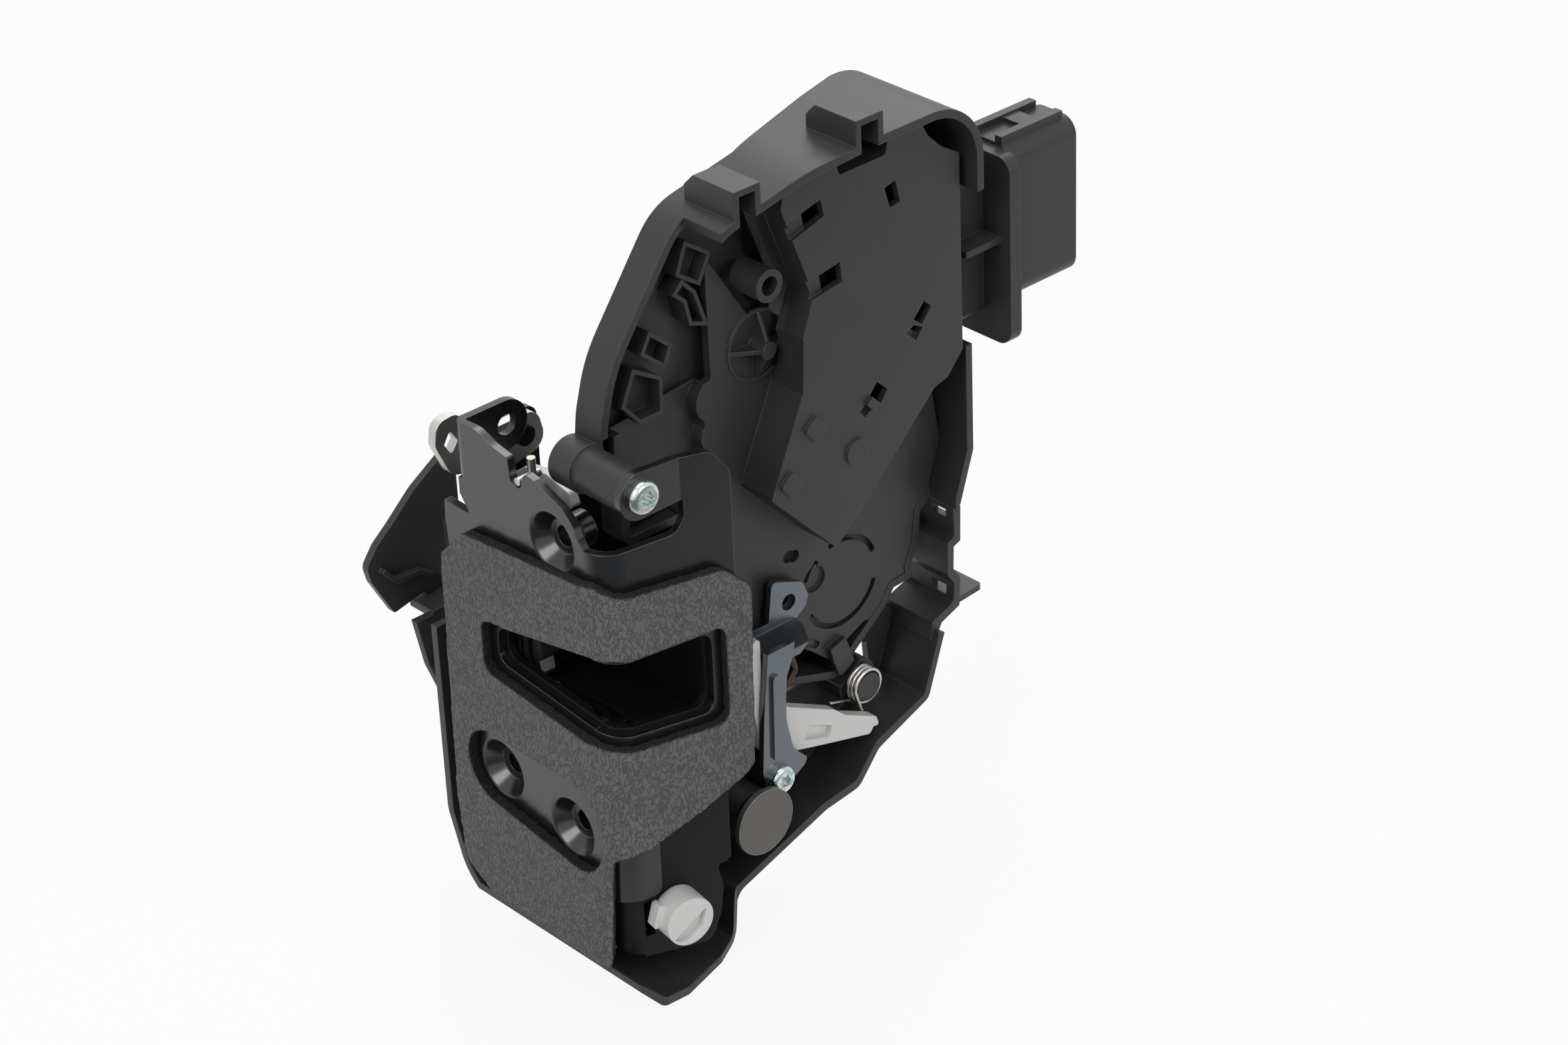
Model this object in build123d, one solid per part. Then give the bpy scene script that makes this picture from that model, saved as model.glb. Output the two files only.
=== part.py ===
from build123d import *
from math import atan2, cos, degrees, pi, radians, sin, tan
import os

# Door latch actuator: a latch behind a bent steel plate, and the lock drive beside it.
# Millimetres. +Z up, -X out of the shut face of the plate, -Y out of the drive's cover.
# Origin: the upper threaded hole, at the outer face of its dimple's floor.

# Steel plate
PLATE_T = 2.0
DIMPLE_DEPTH = 3.7
PLATE_X = -DIMPLE_DEPTH
CORNER_Y = -16.5
FACE_TURN = 9.0
BEND_R = 7.0
THREAD_R = 2.5
THREAD_LEN = 6.0
DIMPLE_RIM_R = 7.2
DIMPLE_FLOOR_R = 4.3
MOUNT_YZ = [(0.0, 0.0), (24.5, -70.7), (0.1, -75.1)]
EAR_Y = 32.7
EAR_HOLE_XZ = (10.0, 12.1)
EAR_HOLE_R = 2.55
EAR_END_R = 6.0
NOTCH_FLOOR_Z = 2.0
TAB_SCREW_XZ = (5.7, 15.6)
TAB_END_R = 5.7
TAB_ROOT_X = 17.0

# Foam pad
FOAM_T = 3.0

# Fits and gaps
SEAT_GAP = 0.05
RUN_GAP = 0.05
SIDE_GAP = 0.3
LOOSE_GAP = 0.6

# Striker mouth on face A (y, z) and face B (x, z), as cut in the foam
MOUTH_END_Y = 24.4
MOUTH_TOP_Z = -23.0
MOUTH_TOP_END_Z = -29.0
MOUTH_LOW_Z = -46.0
MOUTH_LOW_END_Z = -42.4
MOUTH_B_X = 25.0
MOUTH_B_TOP_Z = -23.8
MOUTH_B_LOW_Z = -49.0
STEEL_INSET = 2.2
LINER_INSET = 3.2

# Latch housing
LINER_T = 2.0
LINER_LEFT_Y = 42.0
LINER_TOP_Z = -9.0
LINER_PEAK_Z = -7.0
LINER_LOW_Z = -104.0
LINER_B_X = 26.3
LINER_DEPTH = 8.9
POCKET_DEPTH = 23.5

# Claw and pawl, turning about axes along X
CLAW_YZ = (22.0, -18.0)
SPRING_ROOM = 2.3
CLAW_X = (2.6, LINER_DEPTH - SPRING_ROOM)
CLAW_TIP_R = 27.2
CLAW_TIP_DEG = -97.8
CLAW_SWING = 42.0
PAWL_YZ = (20.0, -55.5)
PAWL_SWING = 10.0
PIN_R = 4.0
PIN_END_R = 3.0
PAWL_PIN_R = 3.0
PAWL_PIN_END_R = 2.4
BACKPLATE_T = 1.6
COIL_WIRE_R = 0.5
COIL_X = LINER_DEPTH - 2 * COIL_WIRE_R - 0.4

# Child lock knob, on face B (along the face, z)
KNOB_UZ = (14.4, -96.6)
KNOB_R = 6.1
KNOB_PROUD = 7.0
KNOB_SHANK_R = 3.6

# Drive housing and its cover
WALL = 2.0
TUB_LEFT_Y = -4.5
TUB_TOP_Y = -16.5
TUB_RIGHT_Y = -12.0
TUB_NECK_Y = -5.0
TUB_BACK_Y = 4.0
TUB_DEEP_Y = 15.0
TUB_SLOPE_X = (57.0, 97.0)
TUB_RIGHT_X = 114.0
TUB_STEP_X = 35.0
ARC_XZ = (98.5, 57.5)
ARC_R = 15.5
COVER_Y = -3.0
COVER_T = 2.2
PLATEAU_Y = -13.5
LUG_R = 5.8
SCREW_R = 2.0
RING_XZ = (78.6, -44.7)
RING_R = 9.6
BOSS_XZ = (59.7, 39.9)
BOSS_R = 3.9
BOSS_PROUD = 8.0
CROSS_XZ = (57.1, 26.3)
CROSS_R = 8.5

# Connector
FLANGE_X = 125.4
FLANGE_T = 3.6
SOCKET_X = 151.0
SOCKET_Y = (-10.0, 5.0)
SOCKET_Z = (12.0, 52.0)
SOCKET_WALL = 1.8
SOCKET_DEPTH = 17.0

# Back shell
SHELL_WALL = 2.0
SHELL_RIM_X = -5.0
SHELL_LEFT_Y = 45.6
SHELL_PANEL_Y = 6.0
SHELL_FRONT_Y = -12.0
WING_Y = 58.0
WING_T = 2.0

# Bracket, white lever and stud
BRACKET_T = 1.5
BRACKET_TOP_Y = -6.0
BRACKET_LOW_Y = -13.0
LEVER_Y = -11.0
LEVER_T = 3.0
LEVER_PIVOT_XZ = (50.5, -70.5)
LEVER_PIN_R = 2.5
SPRING_XZ = (82.3, -73.7)
SPRING_R = 4.4
SPRING_WIRE_R = 0.5
SPRING_TURNS = 3
SPRING_Y = LEVER_Y + LEVER_T + 0.4
STUD_XZ = (39.7, -87.1)
STUD_R = 8.4
STUD_Y = -17.0
FOOT_SCREW_XZ = (47.9, -80.6)

# Outside release lever and link lever
OUTER_Y = 40.0
OUTER_T = 2.5
OUTER_PIVOT_XZ = (22.0, 1.0)
LINK_X = 7.3
LINK_T = 2.4
LINK_PIVOT_YZ = (22.5, -1.4)

# Lock drive
WORM_X_GAP = 15.0
WHEEL_R = 11.0
WHEEL_TEETH = 22
WORM_R = 3.2
MOTOR_SIZE = (15.0, 11.0, 25.0)
MOTOR_LOW_Z = 6.0
WHEEL_Y = (1.1, 4.3)
SHAFT_R = 1.1

FACE_DIR = (cos(radians(FACE_TURN)), -sin(radians(FACE_TURN)))
BEND_ANGLE = 90.0 - FACE_TURN
BEND_RUN = BEND_R * tan(radians(BEND_ANGLE / 2))
BEND_Y = CORNER_Y + BEND_RUN
BEND_CENTRE = (PLATE_X + BEND_R, BEND_Y)
FACE_B = Plane(
    origin=(PLATE_X, CORNER_Y, 0),
    x_dir=(FACE_DIR[0], FACE_DIR[1], 0),
    z_dir=(FACE_DIR[1], -FACE_DIR[0], 0),
)
BISECTOR = Vector(-1 + FACE_DIR[1], -FACE_DIR[0], 0).normalized()
CORNER = Plane(
    origin=(PLATE_X, CORNER_Y, 0),
    x_dir=(-BISECTOR.Y, BISECTOR.X, 0),
    z_dir=BISECTOR,
)


def along_b(x):
    """Distance along face B, from the sharp corner, of the point at this x."""
    return (x - PLATE_X) / FACE_DIR[0]


def outline(points, radius=0.0):
    """Planar face through the points, with each corner rounded by its own or the given radius."""
    corners = []
    count = len(points)
    for index, point in enumerate(points):
        here = Vector(point[0], point[1])
        before = Vector(points[index - 1][0], points[index - 1][1])
        after = Vector(points[(index + 1) % count][0], points[(index + 1) % count][1])
        back = (before - here).normalized()
        ahead = (after - here).normalized()
        half = back.get_angle(ahead) / 2
        size = point[2] if len(point) > 2 else radius
        if size <= 0 or half > 89:
            corners.append((here, None, here))
            continue
        longest = 0.49 * min((before - here).length, (after - here).length)
        run = min(size / tan(radians(half)), longest)
        size = run * tan(radians(half))
        middle = (back + ahead).normalized() * (size / sin(radians(half)) - size)
        corners.append((here + back * run, here + middle, here + ahead * run))
    edges = []
    for index, (start, middle, end) in enumerate(corners):
        if middle is not None:
            edges.append(ThreePointArc(start, middle, end))
        edges.append(Line(end, corners[(index + 1) % count][0]))
    return make_face(Wire(edges))


def disc(centre, radius):
    """Round face about a point of the sketch plane."""
    return Pos(centre[0], centre[1]) * Circle(radius)


def slab(face, plane, low, high):
    """Prism of a face of the sketch plane, from low to high along the plane's normal."""
    return extrude(plane.offset(low) * face, amount=high - low)


def xz(face, y_low, y_high):
    """Prism of an (x, z) face between two values of y."""
    return slab(face, Plane.XZ, -y_high, -y_low)


def yz(face, x_low, x_high):
    """Prism of a (y, z) face between two values of x."""
    return slab(face, Plane.YZ, x_low, x_high)


def xy(face, z_low, z_high):
    """Prism of an (x, y) face between two values of z."""
    return slab(face, Plane.XY, z_low, z_high)


def face_b(face, low, high):
    """Prism of a face drawn on face B, measured outward from the plate's outer side."""
    return slab(face, FACE_B, low, high)


def rod_y(centre, radius, y_low, y_high):
    return xz(disc(centre, radius), y_low, y_high)


def rod_x(centre, radius, x_low, x_high):
    return yz(disc(centre, radius), x_low, x_high)


def box(x, y, z):
    """Box between pairs of x, y and z."""
    centre = Pos((x[0] + x[1]) / 2, (y[0] + y[1]) / 2, (z[0] + z[1]) / 2)
    return centre * Box(x[1] - x[0], y[1] - y[0], z[1] - z[0])


def grown(face, amount):
    """The face with its edges moved outward, or inward if the amount is negative."""
    return offset(face, amount=amount, kind=Kind.INTERSECTION)


def bend(outer, inner, z_low, z_high):
    """Rounded corner between the two faces, between two offsets from the plate's outer side."""
    ring = Circle(BEND_R + outer) - Circle(BEND_R + inner)
    reach = 4 * BEND_R
    arm = (reach * sin(radians(FACE_TURN)), reach * cos(radians(FACE_TURN)))
    wedge = outline([(0, 0), (-reach, 0), (-reach, -reach), (-arm[0], -arm[1])])
    return xy(Pos(*BEND_CENTRE) * (ring & wedge), z_low, z_high)


def bent_panel(outer, inner, a_face, corner_face, b_face):
    """Sheet that follows the plate's two faces and the bend between them."""
    side_a = yz(a_face, PLATE_X - outer, PLATE_X - inner)
    side_b = face_b(b_face, inner, outer)
    turn = bend(outer, inner, -130, 40)
    turn = turn & slab(corner_face, CORNER, -30, 30)
    return side_a + turn + side_b


def mouth_cut(inset, depth=12.0):
    """Striker mouth through both faces and the bend."""
    low = MOUTH_LOW_Z + inset
    top = MOUTH_TOP_Z - inset
    b_low = MOUTH_B_LOW_Z + inset
    b_top = MOUTH_B_TOP_Z - inset
    side_a = outline([
        (BEND_Y, low),
        (BEND_Y, top),
        (MOUTH_END_Y - inset, MOUTH_TOP_END_Z - inset, 3),
        (MOUTH_END_Y - inset, MOUTH_LOW_END_Z + inset, 3),
    ])
    run = BEND_RUN * cos(radians(BEND_ANGLE / 2))
    b_mid = b_low + 1.5
    corner = outline([
        (-30, low), (-run, low), (run, b_mid), (30, b_mid),
        (30, b_top), (run, b_top), (-run, top), (-30, top),
    ])
    end = along_b(MOUTH_B_X) - inset
    side_b = outline([
        (BEND_RUN, b_mid),
        (end, b_low, 3),
        (end, b_top, 3),
        (BEND_RUN, b_top),
    ])
    turn = bend(depth / 2, -BEND_R + 0.2, -60, -10) & slab(corner, CORNER, -30, 30)
    cut_a = yz(side_a, PLATE_X - depth / 2, PLATE_X + BEND_R)
    return cut_a + turn + face_b(side_b, -BEND_R, depth / 2)


def dimple(y, z):
    """Drawn dimple with its threaded collar, turned about X."""
    floor = PLATE_X + DIMPLE_DEPTH
    rim = DIMPLE_RIM_R
    section = outline([
        (PLATE_X, rim + 1.6),
        (PLATE_X, rim, 1.2),
        (floor, DIMPLE_FLOOR_R, 0.5),
        (floor, THREAD_R),
        (floor + THREAD_LEN, THREAD_R),
        (floor + THREAD_LEN, THREAD_R + 1.7),
        (floor + PLATE_T, THREAD_R + 1.7),
        (floor + PLATE_T, DIMPLE_FLOOR_R + 0.9, 1.0),
        (PLATE_X + PLATE_T, rim + 1.0, 0.5),
        (PLATE_X + PLATE_T, rim + 1.6),
    ])
    return Pos(0, y, z) * revolve(section, Axis.X)


def latch_plate():
    left = 37.4
    a_low = outline([
        (BEND_Y, NOTCH_FLOOR_Z), (BEND_Y, -104.5), (28, -103.5, 6), (left - 1, -98, 3),
        (left, -20), (38.2, -9, 3), (37.8, -4.2), (28.6, -4.6, 0.6), (31.8, -0.3), (31.8, 4),
        (4, 4), (-9.0, 4),
    ])
    a_top = outline([
        (-9.4, 2.6), (-7.6, 7.0, 4), (-4.3, 10.0, 4), (0.3, 11.6, 6), (4.8, 13.4), (7.8, 13.9, 0.8),
        (8.9, 12.6), (9.6, 9.4, 1.4), (13.0, 9.4, 1.6), (13.6, 15.6, 0.8), (19.3, 16.6, 8),
        (24.4, 18.7, 8), (29.7, 18.3), (29.7, 2.6),
    ])
    ear_bend = Pos(PLATE_X + 3, EAR_Y - 3) * (Circle(3) - Circle(3 - PLATE_T))
    ear_bend = ear_bend & outline([(PLATE_X - 1, EAR_Y - 3), (PLATE_X - 1, EAR_Y + 1),
                                   (PLATE_X + 3, EAR_Y + 1), (PLATE_X + 3, EAR_Y - 3)])
    ear_x, ear_z = EAR_HOLE_XZ
    ear = outline([
        (PLATE_X + 3, 18.1), (ear_x, ear_z + EAR_END_R), (ear_x + 4, 8), (13.2, 6.4, 2),
        (8.4, 5.4, 4), (PLATE_X + 3, -0.3),
    ]) + disc(EAR_HOLE_XZ, EAR_END_R)
    b_right = along_b(29.7)
    b_side = outline([
        (BEND_RUN, NOTCH_FLOOR_Z), (along_b(15.5), NOTCH_FLOOR_Z, 3.5), (along_b(17.5), 5.5, 1.5),
        (along_b(17.5), 9.9, 0.8), (along_b(TAB_ROOT_X), 9.9), (along_b(TAB_ROOT_X), 20.3),
        (along_b(25), 19.2, 4), (b_right, 13, 4), (b_right, -64), (along_b(16), -70.5, 3),
        (along_b(6.5), -75, 1), (along_b(6.5), -89.5, 2.4), (BEND_RUN, -89.5),
    ])
    reach = 3 * BEND_R
    corner = outline([(-reach, -104.5), (-4.3, -104.5), (-4.2, -89.5), (reach, -89.5),
                      (reach, NOTCH_FLOOR_Z), (-reach, NOTCH_FLOOR_Z)])
    plate = bent_panel(0, -PLATE_T, a_low + a_top, corner, b_side)
    plate += xy(ear_bend, -0.3, 18.2)
    plate += yz(outline([(31.9, -0.3), (31.9, 4), (29.0, 4), (29.0, -0.3)]), PLATE_X, PLATE_X + PLATE_T)
    plate += xz(ear, EAR_Y - PLATE_T, EAR_Y)
    tab_y = CORNER_Y - (TAB_ROOT_X - PLATE_X) * tan(radians(FACE_TURN))
    screw_x, screw_z = TAB_SCREW_XZ
    arm = outline([(screw_x, screw_z - TAB_END_R), (TAB_ROOT_X + 0.6, 9.9),
                   (TAB_ROOT_X + 0.6, 20.3), (screw_x, screw_z + TAB_END_R)])
    plate += xz(arm + disc(TAB_SCREW_XZ, TAB_END_R), tab_y, tab_y + PLATE_T)
    plate -= rod_y(TAB_SCREW_XZ, SCREW_R + 0.3, tab_y - 1, tab_y + PLATE_T + 1)
    plate -= rod_y(EAR_HOLE_XZ, EAR_HOLE_R, EAR_Y - 5, EAR_Y + 5)
    for y, z in MOUNT_YZ:
        plate -= rod_x((y, z), DIMPLE_RIM_R + 1.5, PLATE_X - 1, PLATE_X + PLATE_T + 1)
        plate += dimple(y, z)
    plate -= mouth_cut(STEEL_INSET)
    plate -= rod_x(CLAW_YZ, PIN_END_R, PLATE_X - 1, 0)
    plate -= rod_x(PAWL_YZ, PAWL_PIN_END_R, PLATE_X - 1, 0)
    return plate


def foam_seal():
    a_side = outline([
        (BEND_Y, -5.0), (28.6, -8.1, 2.5), (37.3, -16.8, 3), (39.2, -83, 20), (37.8, -100.6, 6),
        (28.5, -106.2, 5), (BEND_Y, -107.3),
    ])
    corner = outline([
        (-30, -5.0), (-4.4, -5.0), (-2.2, -4.8), (2.2, -7.2), (4.6, -7.9), (30, -7.9),
        (30, -74.6), (4.6, -74.6), (-1.5, -76.8, 1), (-3.2, -104, 2), (-4.2, -107.3), (-30, -107.3),
    ])
    right = along_b(32.2)
    b_side = outline([
        (BEND_RUN, -7.9), (along_b(25.2), -9.4, 5), (right, -16, 5), (right - 1.2, -63.6, 5),
        (along_b(16.9), -69.6, 8), (BEND_RUN, -74.6),
    ])
    foam = bent_panel(FOAM_T, 0, a_side, corner, b_side)
    foam -= mouth_cut(0, 20)
    oval = outline([(33.2, -59.7, 8.5), (-12.7, -59.7, 9), (-12.7, -84.2, 8), (33.2, -77.2, 9.5)])
    return foam - yz(oval, PLATE_X - 12, PLATE_X)


def latch_housing():
    out = -PLATE_T - SEAT_GAP
    inner = out - LINER_T
    wall_x = PLATE_X - out
    inside_x = wall_x + LINER_T
    a_face = outline([
        (BEND_Y, LINER_TOP_Z), (9, LINER_TOP_Z, 1), (12, LINER_PEAK_Z, 1), (37, LINER_PEAK_Z, 3),
        (LINER_LEFT_Y, LINER_PEAK_Z - 5, 3), (LINER_LEFT_Y, LINER_LOW_Z + 8, 8),
        (30, LINER_LOW_Z, 6), (BEND_Y, LINER_LOW_Z),
    ])
    right = along_b(LINER_B_X)
    b_face = outline([
        (BEND_RUN, LINER_TOP_Z), (right, LINER_TOP_Z, 2), (right, -89), (right - 4, -89.5, 2),
        (right - 2.4, -96), (along_b(23), -103, 4), (along_b(20), -110, 3), (along_b(2.3), -107),
        (BEND_RUN, -106.6),
    ])
    corner = outline([(-30, LINER_LOW_Z), (-4.4, LINER_LOW_Z), (4.6, -106.6), (30, -106.6),
                      (30, LINER_TOP_Z), (-30, LINER_TOP_Z)])
    body = bent_panel(out, inner, a_face, corner, b_face)
    body -= mouth_cut(LINER_INSET, 18)
    # Rim round the claw and pawl space
    rim_deep = outline([
        (-8, LINER_TOP_Z), (9, LINER_TOP_Z, 1), (12, LINER_PEAK_Z, 1), (37, LINER_PEAK_Z, 3),
        (LINER_LEFT_Y, LINER_PEAK_Z - 5, 3), (LINER_LEFT_Y, LINER_LOW_Z + 8, 8),
        (30, LINER_LOW_Z, 6), (-8, LINER_LOW_Z),
    ])
    rim = rim_deep - grown(rim_deep, -LINER_T)
    body += yz(rim, inside_x - 0.5, LINER_DEPTH)
    body -= box((inside_x, LINER_DEPTH + 1), (-9, -5), (MOUTH_B_LOW_Z + 1.4, MOUTH_B_TOP_Z - 1.4))
    # Side wall behind face B, and the striker pocket
    depth_b = 14.0
    for z_low, z_high in ((LINER_TOP_Z - LINER_T, LINER_TOP_Z), (-91, -89)):
        strip = outline([(BEND_RUN + 2.5, z_low), (right - 0.5, z_low), (right - 0.5, z_high),
                         (BEND_RUN + 2.5, z_high)])
        body += face_b(strip, inner - depth_b, inner + 0.5)
    edge = outline([(right - LINER_T, -91), (right - LINER_T, LINER_TOP_Z),
                    (right, LINER_TOP_Z), (right, -91)])
    body += face_b(edge, inner - depth_b, inner + 0.5)
    low, top = MOUTH_B_LOW_Z + 1.4, MOUTH_B_TOP_Z - 1.4
    end_y = MOUTH_END_Y - 1.2
    pocket_x = (LINER_DEPTH - 0.4, POCKET_DEPTH + 1.6)
    pocket = box(pocket_x, (-20.6, end_y), (low - 1.6, top + 1.6))
    hollow = box((0, POCKET_DEPTH), (-30, end_y - 1.6), (low, top))
    outside = face_b(outline([(-20, -80), (60, -80), (60, 30), (-20, 30)]), inner + 0.2, 30)
    body += (pocket - hollow) - outside
    # Recessed wall beside the claw, with its slit
    screen = yz(outline([(17.5, -27.0), (30, -27.0), (30, -45), (17.5, -45)]), 0.9, 1.9)
    screen -= yz(outline([(19.2, -31), (20.0, -31), (20.0, -41), (19.2, -41)]), 0, 3)
    body += screen
    body += yz(outline([(24.6, -27), (30, -27), (30, -45), (24.6, -45)]), inside_x - 0.2, 1.0)
    # Clearance for the dimples and the two pins
    for y, z in MOUNT_YZ[1:]:
        body -= rod_x((y, z), DIMPLE_RIM_R + 2.0, wall_x - 1, inside_x + 1)
    body -= rod_x(CLAW_YZ, PIN_R + 0.2, wall_x - 1, inside_x + 1)
    body -= rod_x(PAWL_YZ, PAWL_PIN_R + 0.2, wall_x - 1, inside_x + 1)
    # Knob bearing and the recess under the foam's corner
    knob_seat = disc(KNOB_UZ, KNOB_R + 1.6)
    body += face_b(knob_seat, inner - 3.0, inner + 0.2)
    body -= face_b(disc(KNOB_UZ, KNOB_SHANK_R + RUN_GAP), inner - 5, 3)
    slot = outline([(KNOB_UZ[0] - 8.0, -101.5), (KNOB_UZ[0] - 5.4, -101.5),
                    (KNOB_UZ[0] - 5.4, -92), (KNOB_UZ[0] - 8.0, -92)])
    body -= face_b(slot, inner - 1, out + 1)
    # Bolt lands for the backplate
    for y, z in BACKPLATE_POSTS:
        body += rod_x((y, z), 3.0, inside_x - 0.2, LINER_DEPTH)
    return body


BACKPLATE_POSTS = [(37.6, -13.2), (36.5, -92.0), (-4.0, -62.0)]


def latch_backplate():
    face = outline([
        (7, -11.2, 4), (39.6, -9.6, 3), (39.6, -96, 5), (31, -96, 3), (31, -66, 3), (-7, -66, 3),
        (-7, -57, 3), (8, -51.5, 2), (24.4, -51.5, 2), (24.4, -23.6, 2), (7, -22.4, 2),
    ], 0.8)
    plate = yz(face, LINER_DEPTH, LINER_DEPTH + BACKPLATE_T)
    low, top = MOUTH_B_LOW_Z - 0.4, MOUTH_B_TOP_Z + 0.4
    plate -= box((0, 40), (-30, MOUTH_END_Y - 1.0), (low, top))
    plate -= rod_x(CLAW_YZ, PIN_END_R, 0, 20)
    plate -= rod_x(PAWL_YZ, PAWL_PIN_END_R, 0, 20)
    for y, z in BACKPLATE_POSTS:
        plate -= rod_x((y, z), 1.2, 0, 20)
    return plate


def pin(centre, radius, end_radius):
    """Shouldered pin between the plate and the backplate, headed at the back."""
    shaft = rod_x(centre, end_radius, PLATE_X, LINER_DEPTH + BACKPLATE_T)
    shaft += rod_x(centre, radius, PLATE_X + PLATE_T, LINER_DEPTH)
    head = rod_x(centre, end_radius + 1.2, LINER_DEPTH + BACKPLATE_T, LINER_DEPTH + BACKPLATE_T + 1.2)
    return shaft + head


def polar(centre, radius, degrees_up):
    angle = radians(degrees_up)
    return (centre[0] + radius * cos(angle), centre[1] + radius * sin(angle))


def claw_faces():
    """Steel claw in its open position, and the padded area of its arms."""
    arm = CLAW_TIP_DEG
    hook = arm - 72
    tip = CLAW_TIP_R
    steel = outline([
        polar(CLAW_YZ, 7.6, 100) + (6,),
        polar(CLAW_YZ, 8.2, 45) + (5,),
        polar(CLAW_YZ, 9.5, -10) + (5,),
        polar(CLAW_YZ, 15.5, arm + 28) + (6,),
        polar(CLAW_YZ, tip - 1.4, arm + 8.5) + (1,),
        polar(CLAW_YZ, tip, arm + 5) + (1,),
        polar(CLAW_YZ, tip, arm - 7) + (1,),
        polar(CLAW_YZ, 19, arm - 9) + (3,),
        polar(CLAW_YZ, 9.6, arm - 34) + (4,),
        polar(CLAW_YZ, 24.5, hook + 7) + (2,),
        polar(CLAW_YZ, 25, hook - 8) + (3,),
        polar(CLAW_YZ, 15.5, hook - 27) + (6,),
    ])
    arms = [
        outline([
            polar(CLAW_YZ, 13.5, arm + 44), polar(CLAW_YZ, 23.2, arm + 14),
            polar(CLAW_YZ, 23.2, arm - 13), polar(CLAW_YZ, 13.0, arm - 22),
        ], 1.5),
        outline([
            polar(CLAW_YZ, 13.2, hook + 16), polar(CLAW_YZ, 23.4, hook + 11),
            polar(CLAW_YZ, 24.2, hook - 9.5), polar(CLAW_YZ, 15.5, hook - 20),
        ], 1.5),
    ]
    return steel, arms


def claw():
    steel, arms = claw_faces()
    body = yz(steel, *CLAW_X)
    return body - rod_x(CLAW_YZ, PIN_R + RUN_GAP, 0, 10)


def claw_overmould():
    steel, arms = claw_faces()
    low, high = CLAW_X
    pad = yz(arms[0], low - 0.4, high + 0.5)
    inner = yz(steel, low, high)
    link = outline([
        polar(CLAW_YZ, 6.2, CLAW_TIP_DEG + 30), polar(CLAW_YZ, 14.5, CLAW_TIP_DEG + 12),
        polar(CLAW_YZ, 14.5, CLAW_TIP_DEG - 14), polar(CLAW_YZ, 6.2, CLAW_TIP_DEG - 40),
        polar(CLAW_YZ, 14.5, CLAW_TIP_DEG - 60), polar(CLAW_YZ, 17.5, CLAW_TIP_DEG - 72),
        polar(CLAW_YZ, 14.5, CLAW_TIP_DEG - 84), polar(CLAW_YZ, 6.2, CLAW_TIP_DEG - 100),
    ])
    bridge = yz(link, high, high + 0.5)
    pad2 = yz(arms[1], low - 0.4, high + 0.5)
    hub = rod_x(CLAW_YZ, PIN_R + LOOSE_GAP, low - 1, high + 1)
    return (pad + pad2 + bridge) - inner - hub


def pawl():
    tooth = [
        polar(CLAW_YZ, 25.4, CLAW_TIP_DEG + CLAW_SWING - 8.6) + (0.6,),
        polar(CLAW_YZ, 31.5, CLAW_TIP_DEG + CLAW_SWING - 8.0) + (2,),
    ]
    shape = outline(tooth + [
        (38.0, -48.5, 3), (31.0, -57.0, 4), (28.0, -62.0, 3), (15.0, -63.2, 5), (12.5, -54, 5),
        (17.5, -48.6, 4), (25.0, -46.8, 3),
        polar(CLAW_YZ, 25.6, CLAW_TIP_DEG + CLAW_SWING - 24) + (1.5,),
    ])
    body = yz(shape, *CLAW_X) - rod_x(PAWL_YZ, PAWL_PIN_R + RUN_GAP, 0, 10)
    axis = Axis((0, PAWL_YZ[0], PAWL_YZ[1]), (1, 0, 0))
    return body.rotate(axis, -PAWL_SWING)


def coil_x(centre, radius, wire, x_low, leg):
    """Flat torsion coil about an axis along X, with one straight leg."""
    y, z = centre
    ring = Pos(x_low + wire, y, z) * Rot(0, 90, 0) * Torus(radius, wire)
    end = polar(centre, radius, leg[0])
    foot = polar(centre, leg[1], leg[0] + leg[2])
    run = Line((x_low + wire, end[0], end[1]), (x_low + wire, foot[0], foot[1]))
    arm = sweep(Plane(origin=run @ 0, z_dir=run % 0) * Circle(wire), path=run)
    return ring + arm


def child_lock_knob():
    out = -PLATE_T - SEAT_GAP
    base = out + 0.25
    face = out + KNOB_PROUD
    u, z = KNOB_UZ
    knob = face_b(disc(KNOB_UZ, KNOB_R), base, face)
    knob += face_b(disc(KNOB_UZ, KNOB_SHANK_R), base - LINER_T - 4.5, base)
    knob += face_b(disc(KNOB_UZ, KNOB_SHANK_R + 1.2), base - LINER_T - 4.5, base - LINER_T - 3.5)
    knob += face_b(outline([(u - 7.6, z - 1.2), (u - 5.2, z - 1.2), (u - 4.6, z + 4.5),
                            (u - 6.0, z + 4.5)], 0.5), base, base + 3.0)
    half = outline([(u - 4.4, z - 3.4), (u + 4.4, z + 2.2), (u + 3.4, z - 2.6), (u, z - 5.0),
                    (u - 2.6, z - 4.8)])
    return knob - face_b(half, face - 1.6, face + 1)


def tub_face():
    """Outline (x, z) of the drive housing."""
    left = outline([
        (14, -8, 3), (14, 9), (9.2, 9), (7.9, 20), (8.6, 26, 20), (12, 38, 40), (33.1, 66.4, 16),
        (60, 71.8, 60), (ARC_XZ[0] - 14, ARC_XZ[1] + ARC_R), (ARC_XZ[0], ARC_XZ[1] + ARC_R),
        (ARC_XZ[0], ARC_XZ[1]), (TUB_RIGHT_X, ARC_XZ[1]), (TUB_RIGHT_X, -20), (109.5, -33),
        (105, -36.5), (103.8, -45), (101.4, -50), (101.6, -53.5), (95.6, -53.8), (92.5, -58),
        (86, -63), (76, -70.5, 2), (62, -66, 3), (34, -64, 3), (34, -8),
    ])
    return left + disc(ARC_XZ, ARC_R)


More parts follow.
